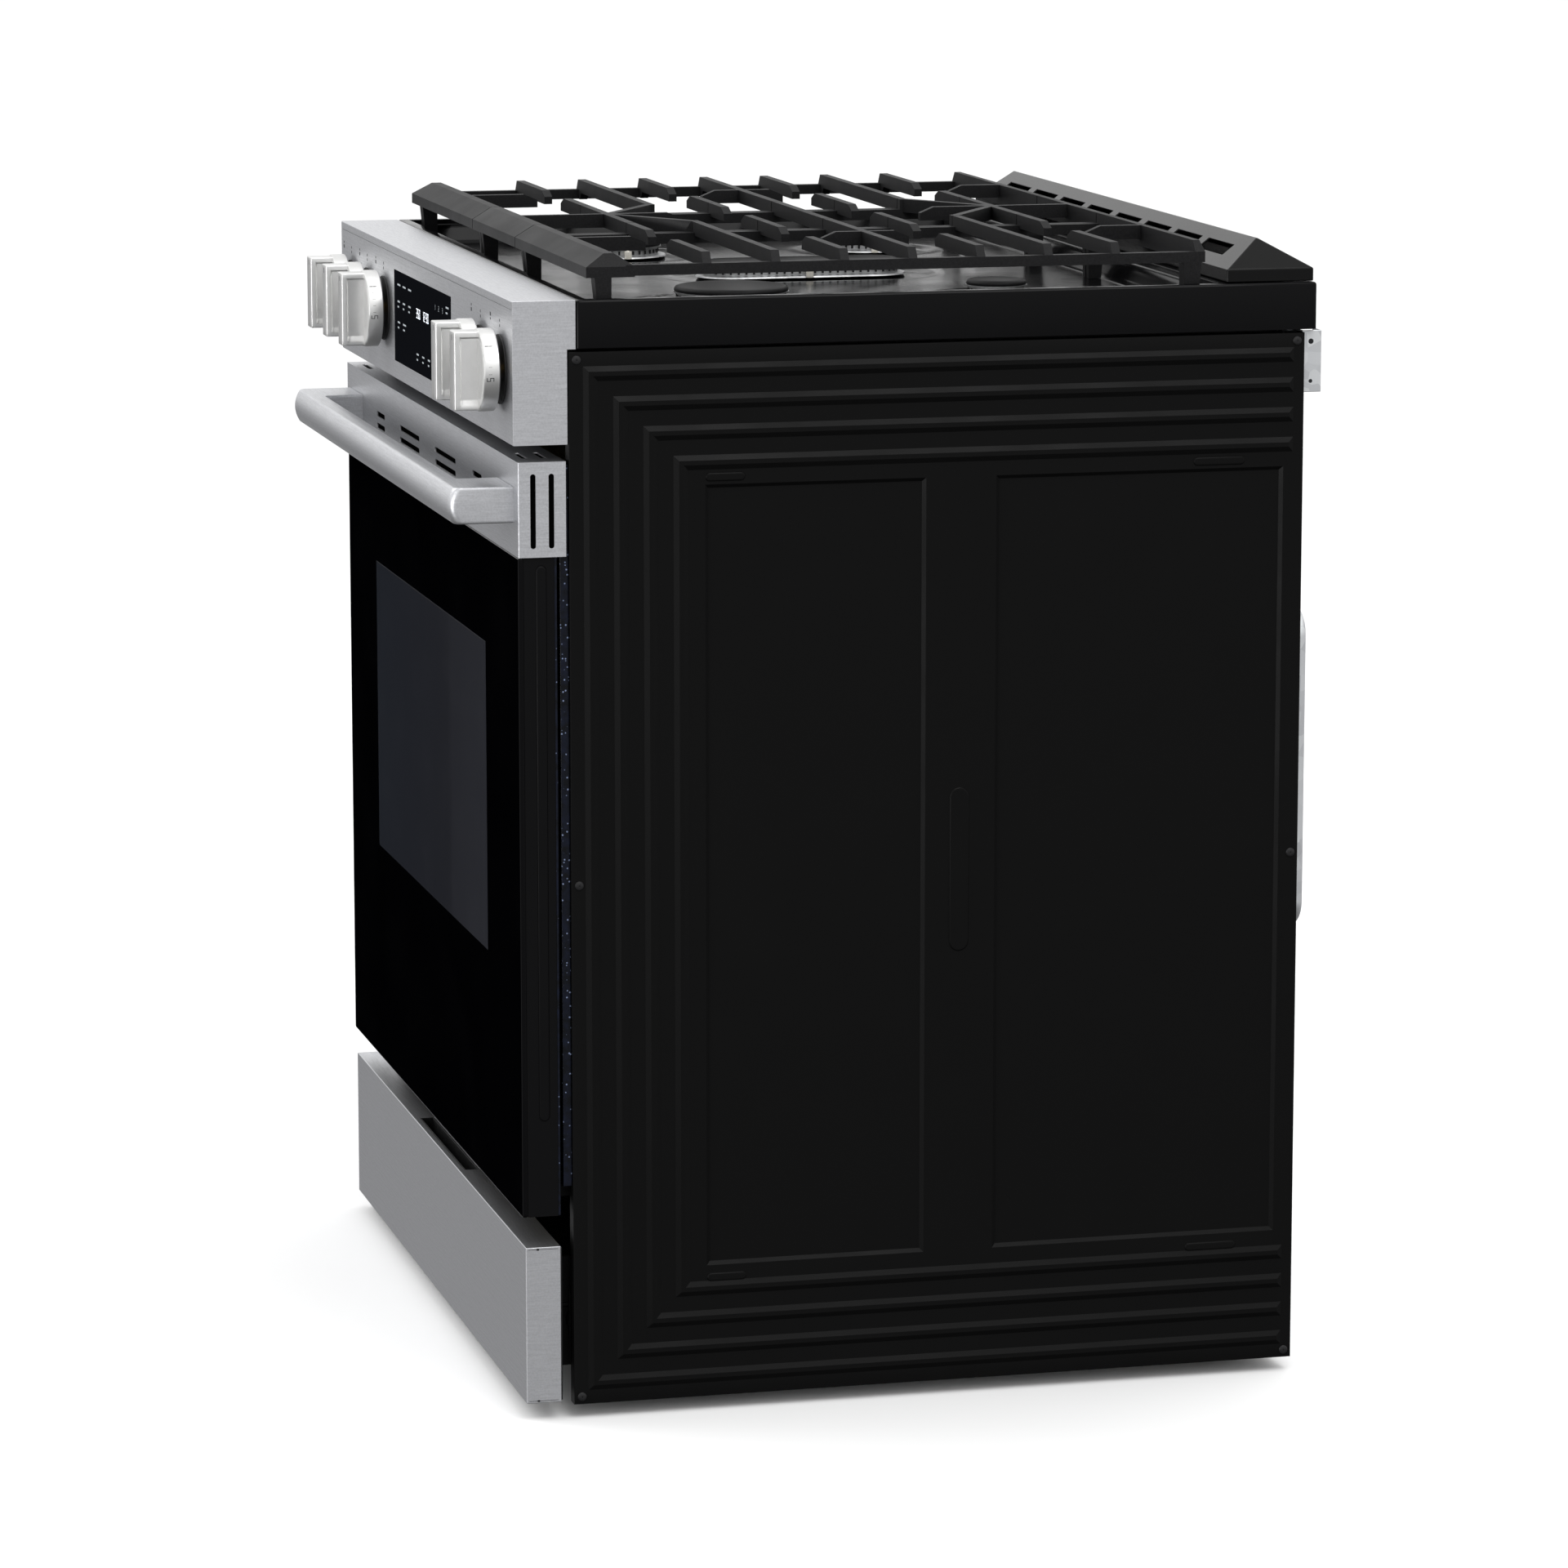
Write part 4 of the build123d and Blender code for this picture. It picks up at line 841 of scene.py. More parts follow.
class RANGE_OT_burners(bpy.types.Operator):
    """Burner heads with rings of dark blocks as painted shade for their flame ports, domed caps, igniters and
    tubes
    """
    bl_idname = "range_finish.burners"
    bl_label = "Burners"

    def execute(self, context):
        alloy, cap, dark = finish(cast_aluminium), finish(matte_cap_enamel), finish(moulded_plastic)
        cap_low, cap_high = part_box("burner_caps")
        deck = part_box("igniters")[0].z
        heads, caps = bmesh.new(), bmesh.new()
        port_meshes = []
        widest = max(radius for _, radius, _ in burner_places().values())
        for name, (middle, radius, stretch) in burner_places().items():
            outline = oval(middle, stretch)
            head = [(0, deck), (radius + 5 * MM, deck), (radius + 4.2 * MM, deck + 1.2 * MM),
                    (radius - 2 * MM, deck + 2.2 * MM), (radius - 2.5 * MM, cap_low.z - 1.4 * MM),
                    (radius + 0.5 * MM, cap_low.z - 1.0 * MM), (radius + 0.5 * MM, cap_low.z), (0, cap_low.z)]
            turned(heads, head, outline)
            dome = cap_high.z - cap_low.z
            cover = [(0, cap_low.z), (radius - 0.5 * MM, cap_low.z), (radius, cap_low.z + 0.6 * MM),
                     (radius, cap_low.z + dome * 0.45), (radius - 1.0 * MM, cap_low.z + dome * 0.8),
                     (radius - 3.0 * MM, cap_high.z - 0.2 * MM), (radius - 6.0 * MM, cap_high.z),
                     (radius * 0.72, cap_high.z - 0.5 * MM), (0, cap_high.z - 0.5 * MM)]
            turned(caps, cover, outline)
            # painted shade: each flame port is a small dark block in the head's wall, standing for the shade
            # inside its slot
            slot_bm = bmesh.new()
            brick(slot_bm, (-0.7 * MM, -1.6 * MM, -0.9 * MM), (0.7 * MM, 1.6 * MM, 0.9 * MM))
            item = scratch_mesh("port", slot_bm)
            ring = [outline(a, radius - 2.2 * MM) + Vector((0, 0, (deck + cap_low.z) / 2 + 0.2 * MM))
                    for a in np.linspace(0, 2 * math.pi, 96, endpoint=False)]
            count = max(16, round(sizes().flame_ports * (radius + stretch * 0.6) / widest))
            port_meshes.append(grow(loop_curve(name, ring), instance_tree("flame_ports"), Item=item,
                                    Count=count, Finish=dark))
            bpy.data.objects.remove(item)
        recalc(heads)
        recalc(caps)
        piece_from(heads, "ported_burner_heads", RANGE, alloy, "burner_heads", slot="burner_alloy")
        piece_from(caps, "domed_burner_caps", RANGE, cap, "burner_caps", slot="cap_enamel", smooth_angle=40)
        ports = bmesh.new()
        for mesh in port_meshes:
            ports.from_mesh(mesh)
        piece_from(ports, "flame_ports", RANGE, dark)
        paint("igniters", finish(glazed_ceramic))
        soften("igniters", 0.3, 1)
        paint("burner_tubes", finish(galvanised))
        return {"FINISHED"}


def oval(middle, stretch):
    """A function from an angle and a radius to a point on an oval that is stretched along y."""
    def at(angle, radius):
        x, y = radius * math.cos(angle), radius * math.sin(angle)
        shift = stretch if math.sin(angle) >= 0 else -stretch
        return Vector((middle.x + x, middle.y + y + (shift if stretch else 0), 0))
    return at


def turned(bm, profile, outline, steps=72):
    """Add a closed form whose (radius, height) profile follows an outline; it starts and ends at the middle."""
    rings = []
    for radius, height in profile:
        if radius == 0:
            rings.append([None, height])
            continue
        rings.append([[bm.verts.new(outline(2 * math.pi * (i + 0.5) / steps, radius) + Vector((0, 0, height)))
                       for i in range(steps)], height])
    for (lower, _), (upper, _) in zip(rings, rings[1:]):
        if lower is None or upper is None:
            bm.faces.new(upper or lower)
            continue
        for i in range(steps):
            j = (i + 1) % steps
            bm.faces.new((lower[i], lower[j], upper[j], upper[i]))


# ---------------------------------------------------------------- grates

class RANGE_OT_grates(bpy.types.Operator):
    """Cast-iron grates with rounded bars"""
    bl_idname = "range_finish.grates"
    bl_label = "Grates"

    def execute(self, context):
        for name in ("grate_left", "grate_centre", "grate_right"):
            paint(name, finish(cast_iron))
            soften(name, 0.9, 2, 25, merge_flats=False)
        return {"FINISHED"}


# ---------------------------------------------------------------- control panel

SEGMENTS = {"0": "abcdef", "1": "bc", "2": "abged", "3": "abgcd", "4": "fgbc", "5": "afgcd", "6": "afgedc",
            "7": "abc", "8": "abcdefg", "9": "abcdfg"}


def seven_segments(bm, text, corner, height, depth):
    """Add seven-segment digits as thin raised bars; corner is the lower left front point."""
    width, bar = height * 0.52, height * 0.13
    bars = {"a": (0, height - bar, width, height), "d": (0, 0, width, bar),
            "g": (0, (height - bar) / 2, width, (height + bar) / 2),
            "f": (0, height / 2, bar, height), "b": (width - bar, height / 2, width, height),
            "e": (0, 0, bar, height / 2), "c": (width - bar, 0, width, height / 2)}
    x = corner[0]
    for letter in text:
        if letter == ":":
            for level in (0.3, 0.65):
                brick(bm, (x, corner[1] - depth, corner[2] + height * level),
                      (x + bar, corner[1], corner[2] + height * level + bar))
            x += bar * 2.6
            continue
        for name in SEGMENTS[letter]:
            x0, z0, x1, z1 = bars[name]
            gap = bar * 0.14
            brick(bm, (x + x0 + gap, corner[1] - depth, corner[2] + z0 + gap),
                  (x + x1 - gap, corner[1], corner[2] + z1 - gap))
        x += width * 1.35


def legend(bm, x, y, z, width, rows=2, depth=0.1 * MM):
    """Add a placeholder legend: short bars in place of words."""
    for row in range(rows):
        wide = width * (1.0 if row == 0 else 0.6)
        level = z - row * 4.6 * MM
        brick(bm, (x, y - depth, level), (x + wide, y, level + 1.5 * MM))


class RANGE_OT_control_panel(bpy.types.Operator):
    """Steel fascia with its marks, a painted shade line at its fold, glass display, lit digits, and legends with
    a painted glow
    """
    bl_idname = "range_finish.control_panel"
    bl_label = "Control panel"

    def execute(self, context):
        paint("control_panel", steel())
        soften("control_panel", sizes().edge / MM, 2)
        paint("display_glass", finish(black_glass, "display_glass_black", "#0e0f12", 0.0))
        soften("display_glass", 0.3, 2)
        paint("control_board", finish(circuit_board))
        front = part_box("display_glass")[0].y
        clock_z, clock_height, print_depth = 0.8605, 8.5 * MM, 0.1 * MM
        digits = bmesh.new()
        seven_segments(digits, "350", (-0.022, front, clock_z), clock_height, print_depth)
        seven_segments(digits, "12:30", (0.006, front, clock_z), clock_height, print_depth)
        lit = tuple(context.scene.range_colours.digits)
        piece_from(digits, "clock_digits", RANGE, finish(printed_ink, "lit_clock_segments", lit, glow=0.9))
        print_bm = bmesh.new()
        for column, x in enumerate((-0.107, -0.083, -0.058)):
            legend(print_bm, x, front, 0.8805, 13 * MM, 1)
            legend(print_bm, x, front, 0.866, 10 * MM, 2)
            if column < 2:
                legend(print_bm, x, front, 0.848, 10 * MM + column * 3 * MM, 2)
        for x in (-0.022, 0.003, 0.028, 0.053):
            legend(print_bm, x, front, 0.829, 9 * MM, 2)
        for text, x in (("1", 0.060), ("2", 0.076), ("3", 0.092), ("4", 0.060), ("5", 0.076), ("6", 0.092),
                        ("7", 0.060), ("8", 0.076), ("9", 0.092), ("0", 0.076)):
            row = "123456789".find(text) // 3 if text != "0" else 3
            seven_segments(print_bm, text, (x, front, 0.8755 - row * 13 * MM), 4.6 * MM, print_depth)
        for z in (0.8815, 0.868, 0.854):
            legend(print_bm, 0.108, front, z, 12 * MM, 2)
        # painted light: the printed grey legends are given a faint glow of their own
        piece_from(print_bm, "display_legends", RANGE,
                   finish(printed_ink, "grey_legend_ink", "#a7adb2", glow=0.12))
        marks = bmesh.new()
        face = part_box("control_panel")[0].y
        for number in KNOBS:
            low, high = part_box(f"knob_{number}")
            middle = (low.x + high.x) / 2
            for z in (0.8893, 0.8935):
                brick(marks, (middle - 1.1 * MM, face - 0.1 * MM, z - 1.1 * MM),
                      (middle + 1.1 * MM, face, z + 1.1 * MM))
            rows = (0.8952, 0.8914) if number != 5 else (0.8914, 0.8952)
            brick(marks, (middle - 38.2 * MM, face - 0.1 * MM, rows[0] - 0.9 * MM),
                  (middle - 35.8 * MM, face, rows[0] + 0.9 * MM))
            brick(marks, (middle - 39.0 * MM, face - 0.1 * MM, rows[1] - 1.5 * MM),
                  (middle - 35.0 * MM, face, rows[1] + 1.5 * MM))
        # painted shade: a dark ink line along the fascia's fold stands for the shade in its crease
        reach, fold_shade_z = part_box("control_panel")[1].x - 1.5 * MM, 0.9061
        brick(marks, (-reach, face - 0.04 * MM, fold_shade_z), (reach, face, fold_shade_z + 0.3 * MM))
        piece_from(marks, "panel_marks", RANGE, finish(printed_ink, "dark_panel_ink", "#3c3d40"))
        return {"FINISHED"}


# ---------------------------------------------------------------- knobs

def knob_mesh(low, high, skirt_face):
    """A turned skirt and a deep grip whose sides are hollowed into sloped pockets."""
    middle_x, middle_z = (low.x + high.x) / 2, (low.z + high.z) / 2
    radius = (high.x - low.x) / 2
    bm = bmesh.new()
    back, face = high.y, skirt_face
    profile = [(0, 0), (radius - 1.2 * MM, 0), (radius, 0.9 * MM), (radius, back - face - 1.6 * MM),
               (radius - 0.5 * MM, back - face - 0.5 * MM), (radius - 1.6 * MM, back - face),
               (radius - 4.5 * MM, back - face + 0.25 * MM), (0, back - face + 0.25 * MM)]
    lathe(bm, profile, (middle_x, back, middle_z), "-Y", 96)
    recalc(bm)
    merge(bm, grip_mesh(middle_x, middle_z, low.y, face + 3 * MM, radius - 1.7 * MM))
    return bm


def grip_mesh(x, z, front, back, half_z):
    """A knob's grip: a flat bar whose two sides are hollowed into shallow pockets that open at the skirt."""
    half_x, border, wall, depth = 9.8 * MM, 4.4 * MM, 1.3 * MM, 1.7 * MM
    round_off = 1.5 * MM
    ys = lines([front, front + border, front + border + wall, back], np.linspace(front + 8 * MM, back, 6))
    zs = lines([-half_z, half_z, -half_z + border, half_z - border, -half_z + border + 2.6 * wall,
                half_z - border - wall], np.linspace(-half_z + 9 * MM, half_z - 9 * MM, 10))
    bm = bmesh.new()
    sheets = []
    for side in (-1, 1):
        sheet = []
        for y in ys:
            row = []
            for level in zs:
                share = min((y - front - border) / wall, (half_z - border - level) / wall,
                            (level + half_z - border) / (2.6 * wall))
                hollow = depth * max(0.0, min(1.0, share))
                row.append(bm.verts.new((x + side * (half_x - hollow), y, z + level)))
            sheet.append(row)
        sheets.append(sheet)
        for i in range(len(ys) - 1):
            for j in range(len(zs) - 1):
                bm.faces.new((sheet[i][j], sheet[i + 1][j], sheet[i + 1][j + 1], sheet[i][j + 1]))
    left, right = sheets
    for i in range(len(ys) - 1):
        for j in (0, -1):
            bm.faces.new((left[i][j], left[i + 1][j], right[i + 1][j], right[i][j]))
    for j in range(len(zs) - 1):
        for i in (0, -1):
            bm.faces.new((left[i][j], left[i][j + 1], right[i][j + 1], right[i][j]))
    recalc(bm)
    outer = [e for e in bm.edges if e.calc_face_angle(0) > math.radians(80)
             and max(v.co.y for v in e.verts) < back - 1e-6]
    bmesh.ops.bevel(bm, geom=outer, offset=round_off * 0.6, segments=3, affect="EDGES", profile=0.5,
                    clamp_overlap=True)
    return bm


def wrap_marks(bm, text, centre, radius, angle, height, level):
    """Add digits that run round a knob's skirt at an angle from its top, clockwise seen from the front."""
    flat = bmesh.new()
    seven_segments(flat, text, (0, 0, 0), height, 0.12 * MM)
    width = max(v.co.x for v in flat.verts)
    for vert in flat.verts:
        turn = angle + (vert.co.x - width / 2) / radius
        out = radius - 0.03 * MM - vert.co.y
        vert.co = Vector((centre.x + out * math.sin(turn), level + vert.co.z - height / 2,
                          centre.z + out * math.cos(turn)))
    recalc(flat)
    merge(bm, flat)


class RANGE_OT_knobs(bpy.types.Operator):
    """Satin alloy knobs with hollowed grips, dial digits on the skirts, bezels and stems"""
    bl_idname = "range_finish.knobs"
    bl_label = "Knobs"

    def execute(self, context):
        alloy, ink = finish(satin_knob_alloy), finish(printed_ink, "dark_dial_ink", "#242527")
        skirt_depth, digit_depth = 13.45 * MM, 8.2 * MM
        for number in KNOBS:
            low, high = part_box(f"knob_{number}")
            face = high.y - skirt_depth
            piece_from(knob_mesh(low, high, face), f"satin_knob_{number}", f"knob_turn_{number}", alloy,
                       f"knob_{number}", slot="knob_alloy", smooth_angle=35)
            centre = (low + high) / 2
            radius = (high.x - low.x) / 2
            level = high.y - digit_depth
            marks = bmesh.new()
            for text, angle in (("1", 48), ("5", 98)):
                wrap_marks(marks, text, centre, radius, math.radians(angle), 6.2 * MM, level)
            for angle in range(60, 92, 10):
                wrap_marks(marks, "1", centre, radius, math.radians(angle), 2.6 * MM, level)
            brick(marks, (centre.x - 0.5 * MM, low.y - 0.08 * MM, high.z - 9 * MM),
                  (centre.x + 0.5 * MM, low.y + 0.3 * MM, high.z - 4.5 * MM))
            piece_from(marks, f"knob_marks_{number}", f"knob_turn_{number}", ink)
            paint(f"valve_stem_{number}", finish(turned_brass))
        paint("knob_bezels", finish(moulded_plastic))
        soften("knob_bezels", 0.5, 2)
        paint("gas_valves", finish(turned_brass))
        return {"FINISHED"}


# ---------------------------------------------------------------- oven door

class RANGE_OT_oven_door(bpy.types.Operator):
    """Black glass door with its smoked window painted in the dim oven's shade, beaded sides, vented steel trim
    with painted shade behind its slots, and bowed handle
    """
    bl_idname = "range_finish.oven_door"
    bl_label = "Oven door"

    def execute(self, context):
        paint("door_trim", steel())
        soften("door_trim", sizes().edge / MM, 3)
        self.handle()
        # painted shade: a sheenless black box inside the trim stands for the shade in its slots
        self.shade_trim_slots(finish(powder_coat, "unlit_lining", "#040404", 0.8, 0.0))
        paint("door_glass", finish(black_glass))
        soften("door_glass", 1.0, 2)
        # painted shade: an opaque pane over the door glass, coloured as the dim oven seen through the smoked
        # window
        inner_low, inner_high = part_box("door_inner_glass")
        low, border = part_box("door_glass")[0], 12 * MM
        pane = bmesh.new()
        brick(pane, (inner_low.x + border, low.y - 0.12 * MM, inner_low.z + border),
              (inner_high.x - border, low.y + 0.3 * MM, inner_high.z - border))
        piece_from(pane, "smoked_window", DOOR, finish(smoked_pane), slot="black_glass")
        shell_low, shell_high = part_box("door_shell")
        side_paint = finish(powder_coat, "door_side_paint", "#0a0a0b", 0.34, 0.07, 1.2)
        paint("door_shell", side_paint)
        soften("door_shell", 0.6, 2)
        beads = bmesh.new()
        for side in (-1, 1):
            def on_side(a, b, up, side=side):
                return Vector((side * (shell_high.x - 0.45 * MM + up),
                               (shell_low.y + shell_high.y) / 2 + a + 1.7 * MM,
                               (shell_low.z + shell_high.z) / 2 + b + 36 * MM))
            bead(beads, on_side, 8.8 * MM, 453 * MM, 1.1 * MM, 0.2 * MM)
        recalc(beads)
        piece_from(beads, "door_side_beads", DOOR, side_paint, slot="black_paint")
        paint("door_inner_panel", finish(speckled_enamel))
        soften("door_inner_panel", 0.8, 2)
        paint("door_inner_glass", finish(clear_glass))
        paint("door_hinges", finish(galvanised))
        soften("door_hinges", 0.4, 1)
        return {"FINISHED"}

    def shade_trim_slots(self, dark):
        """A black box behind the vented trim's slots, painted shade, so that they read as deep openings."""
        low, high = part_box("door_trim")
        bm = bmesh.new()
        brick(bm, (low.x + 1.6 * MM, low.y + 1.5 * MM, low.z + 5 * MM),
              (high.x - 1.6 * MM, high.y - 4 * MM, high.z - 1.5 * MM))
        piece_from(bm, "trim_lining", DOOR, dark, slot="black_plastic")

    def handle(self):
        """The handle as one form: a bowed bar that turns back through rounded corners into its brackets."""
        bar_low, bar_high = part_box("handle_bar")
        arm_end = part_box("handle_brackets")[1].y
        end, wide, bow, corner = bar_high.x, 60 * MM, 4.8 * MM, 7 * MM
        bm = bmesh.new()
        rings = []
        for step in range(13):
            share = step / 6 - 1
            front = bar_low.y + bow * share * share
            half = [(end - corner + corner * math.sin(a), front + corner - corner * math.cos(a))
                    for a in np.linspace(0, math.pi / 2, 7)]
            half += [(end, arm_end), (end - wide, arm_end)]
            half += [(end - wide - 4 * MM + 4 * MM * math.cos(a), bar_high.y + 4 * MM - 4 * MM * math.sin(a))
                     for a in np.linspace(0, math.pi / 2, 5)]
            outline = half + [(-x, y) for x, y in reversed(half)]
            level = (bar_low.z + bar_high.z) / 2 + share * (bar_high.z - bar_low.z) / 2
            rings.append([bm.verts.new((x, y, level)) for x, y in outline])
        for lower, upper in zip(rings, rings[1:]):
            for i in range(len(lower)):
                j = (i + 1) % len(lower)
                bm.faces.new((lower[i], lower[j], upper[j], upper[i]))
        caps = [bm.faces.new(rings[0]), bm.faces.new(rings[-1])]
        recalc(bm)
        edges = list({edge for cap in caps for edge in cap.edges})
        bmesh.ops.bevel(bm, geom=edges, offset=1.4 * MM, segments=3, affect="EDGES", profile=0.5,
                        clamp_overlap=True)
        piece_from(bm, "bowed_handle", DOOR, steel(), "handle_bar", "handle_brackets", slot="brushed_steel",
                   smooth_angle=28)


# ---------------------------------------------------------------- oven inside

class RANGE_OT_oven(bpy.types.Operator):
    """Speckled enamel oven with racks, burners, lamp, gasket and insulation"""
    bl_idname = "range_finish.oven"
    bl_label = "Oven"

    def execute(self, context):
        enamel = finish(speckled_enamel)
        for node, width in (("oven_liner", 0.6), ("oven_front_frame", 0.8), ("oven_bottom", 0.3)):
            paint(node, enamel)
            soften(node, width, 2)
        for node in ("oven_rack_lower", "oven_rack_upper"):
            paint(node, finish(bright_chrome))
        for node in ("bake_burner", "broil_burner"):
            paint(node, finish(heat_tinted_steel))
        paint("oven_lamp", finish(clear_glass))
        paint("door_gasket", finish(glass_braid))
        soften("door_gasket", 1.0, 2)
        paint("oven_insulation", finish(mineral_wool))
        return {"FINISHED"}


# ---------------------------------------------------------------- drawer

class RANGE_OT_drawer(bpy.types.Operator):
    """Steel drawer front, finger cup, sheet tub and runners"""
    bl_idname = "range_finish.drawer"
    bl_label = "Storage drawer"

    def execute(self, context):
        paint("drawer_front", steel())
        soften("drawer_front", sizes().edge / MM, 2)
        paint("drawer_pull", finish(moulded_plastic))
        soften("drawer_pull", 0.4, 2)
        dark = finish(powder_coat, "dark_phosphated_steel", "#1b1b1c", 0.4, 0.2)
        for node in ("drawer_box", "drawer_runners", "drawer_rails", "hinge_brackets", "chassis_frame"):
            paint(node, dark)
            soften(node, 0.4, 1, merge_flats=node != "drawer_rails")
        self.fold_seams()
        return {"FINISHED"}

    def fold_seams(self):
        """Thin dark bars of painted shade in place of the seams and relief notches where the drawer front's
        sheet folds in.
        """
        low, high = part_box("drawer_front")
        bm = bmesh.new()
        for side in (-1, 1):
            face = side * high.x
            xs = sorted((face - side * 0.2 * MM, face + side * 0.05 * MM))
            for level in (low.z + 1.9 * MM, high.z - 1.9 * MM):
                brick(bm, (xs[0], low.y + 2.2 * MM, level - 0.2 * MM),
                      (xs[1], high.y - 2.2 * MM, level + 0.2 * MM))
                brick(bm, (xs[0], low.y + 9 * MM, level - 0.8 * MM), (xs[1], low.y + 11 * MM, level + 0.8 * MM))
        piece_from(bm, "drawer_fold_seams", DRAWER, finish(printed_ink, "shadow_line", "#1f2022"))


# ---------------------------------------------------------------- back and body

class RANGE_OT_back(bpy.types.Operator):
    """Galvanised back with raised louvres, bulged cover, wall brackets, gas and power inlets"""
    bl_idname = "range_finish.back"
    bl_label = "Back"

    def execute(self, context):
        zinc = finish(galvanised)
        for node, width in (("rear_panel", 0.3), ("rear_cover", 0.5), ("wall_brackets", 0.4),
                            ("vent_duct", 0.3), ("manifold_pipe", 0.3)):
            paint(node, zinc)
            soften(node, width, 1)
        paint("gas_regulator", finish(cast_aluminium, "cast_regulator_alloy", "#a3a5a8", 0.5))
        soften("gas_regulator", 0.8, 2)
        # painted shade: flat dark discs stand for the shade seen in the brackets' holes
        holes = bmesh.new()   # dark discs on the brackets, in place of their holes
        hole_low, hole_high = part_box("wall_brackets")
        for side in (-1, 1):
            for level, radius in ((hole_high.z - 9 * MM, 2.2 * MM), (hole_low.z + 9 * MM, 1.6 * MM)):
                ring = bmesh.ops.create_cone(holes, cap_ends=True, segments=20, radius1=radius, radius2=radius,
                                             depth=0.3 * MM)["verts"]
                bmesh.ops.rotate(holes, verts=ring, cent=(0, 0, 0), matrix=Matrix.Rotation(math.pi / 2, 3, "Y"))
                place = (side * hole_high.x - side * 0.1 * MM, hole_high.y - 9 * MM, level)
                bmesh.ops.translate(holes, verts=ring, vec=place)
        piece_from(holes, "bracket_holes", RANGE, finish(printed_ink, "shadow_line", "#1f2022"))
        paint("power_inlet", finish(moulded_plastic))
        soften("power_inlet", 0.6, 2)
        paint("levelling_feet", finish(moulded_plastic))
        back, cover_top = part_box("rear_panel")[1].y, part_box("rear_cover")[1].z
        louvre = bmesh.new()
        section = [(0, 0), (0.4, 5.2), (2.6, 4.4), (4.6, 2.2), (5.4, 0)]
        long = 62 * MM
        rings = []
        for share, scale in ((-0.5, 0.15), (-0.46, 0.7), (-0.4, 1.0), (0.4, 1.0), (0.46, 0.7), (0.5, 0.15)):
            rings.append([louvre.verts.new((share * long, up * scale * MM, out * MM)) for out, up in section])
        for one, two in zip(rings, rings[1:]):
            for i in range(len(section)):
                j = (i + 1) % len(section)
                louvre.faces.new((one[i], one[j], two[j], two[i]))
        louvre.faces.new(rings[0])
        louvre.faces.new(list(reversed(rings[-1])))
        item = scratch_mesh("louvre", louvre)
        places = [(side * 0.25 + column * 0.08, back, cover_top + 34 * MM + row * 13 * MM)
                  for side in (-1, 1) for column in (-1, 0, 1) for row in range(sizes().louvres)]
        at_points("rear_louvres", places, item, (0.0, 0.0, 0.0), RANGE, zinc, slot="galvanised")
        bpy.data.objects.remove(item)
        return {"FINISHED"}


class RANGE_OT_vent_trim(bpy.types.Operator):
    """Black hipped trim over the oven vent"""
    bl_idname = "range_finish.vent_trim"
    bl_label = "Vent trim"

    def execute(self, context):
        paint("vent_trim", finish(powder_coat, "satin_black_vent_paint", "#050505", 0.14, 0.14, 1.2))
        soften("vent_trim", 1.2, 3)
        return {"FINISHED"}


def screw_mesh():
    """A low pan-head screw standing on z = 0. Its cross is two bars set on the head, in place of a recess."""
    bm = bmesh.new()
    lathe(bm, [(0, -0.4 * MM), (3.7 * MM, -0.4 * MM), (3.7 * MM, 0.5 * MM), (3.2 * MM, 1.1 * MM),
               (2.0 * MM, 1.45 * MM), (0.9 * MM, 1.5 * MM), (0, 0.9 * MM)], (0, 0, 0), "Z", 20)
    for turn in (0, math.pi / 2):
        arm = bmesh.new()
        brick(arm, (-1.9 * MM, -0.35 * MM, 1.2 * MM), (1.9 * MM, 0.35 * MM, 1.56 * MM))
        bmesh.ops.rotate(arm, verts=arm.verts[:], cent=(0, 0, 0), matrix=Matrix.Rotation(turn, 3, "Z"))
        merge(bm, arm)
    return bm


class RANGE_OT_screws(bpy.types.Operator):
    """Pan-head screws along the side panels and the back"""
    bl_idname = "range_finish.screws"
    bl_label = "Screws"

    def execute(self, context):
        black = finish(powder_coat, "black_screw_paint", "#161617", 0.35, 0.3, 1.2)
        item = scratch_mesh("screw", screw_mesh())
        low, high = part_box("side_panel_right")
        inset = 6.5 * MM
        levels = (low.z + inset, (low.z + high.z) / 2, high.z - inset)
        for side, name in ((1, "right"), (-1, "left")):
            places = [(side * high.x, y, z) for y in (low.y + inset, high.y - inset) for z in levels]
            replaced = ("body_screws",) if side > 0 else ()
            at_points(f"side_screws_{name}", places, item, (0.0, side * math.pi / 2, 0.0), RANGE,
                      black, twist=3.0, slot="black_paint", replaced=replaced)
        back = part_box("rear_panel")[1]
        cover_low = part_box("rear_cover")[0].z
        xs = (-0.34, -0.12, 0.12, 0.34)
        places = [(x, back.y, z) for x in xs for z in (cover_low - 18 * MM, back.z - 12 * MM, 0.035)]
        places += [(x, back.y, 0.13 + 0.12 * row) for x in (-0.366, 0.366) for row in range(5)]
        at_points("back_screws", places, item, (-math.pi / 2, 0.0, 0.0), RANGE,
                  finish(galvanised), twist=3.0, slot="galvanised")
        bpy.data.objects.remove(item)
        return {"FINISHED"}


# ---------------------------------------------------------------- studio

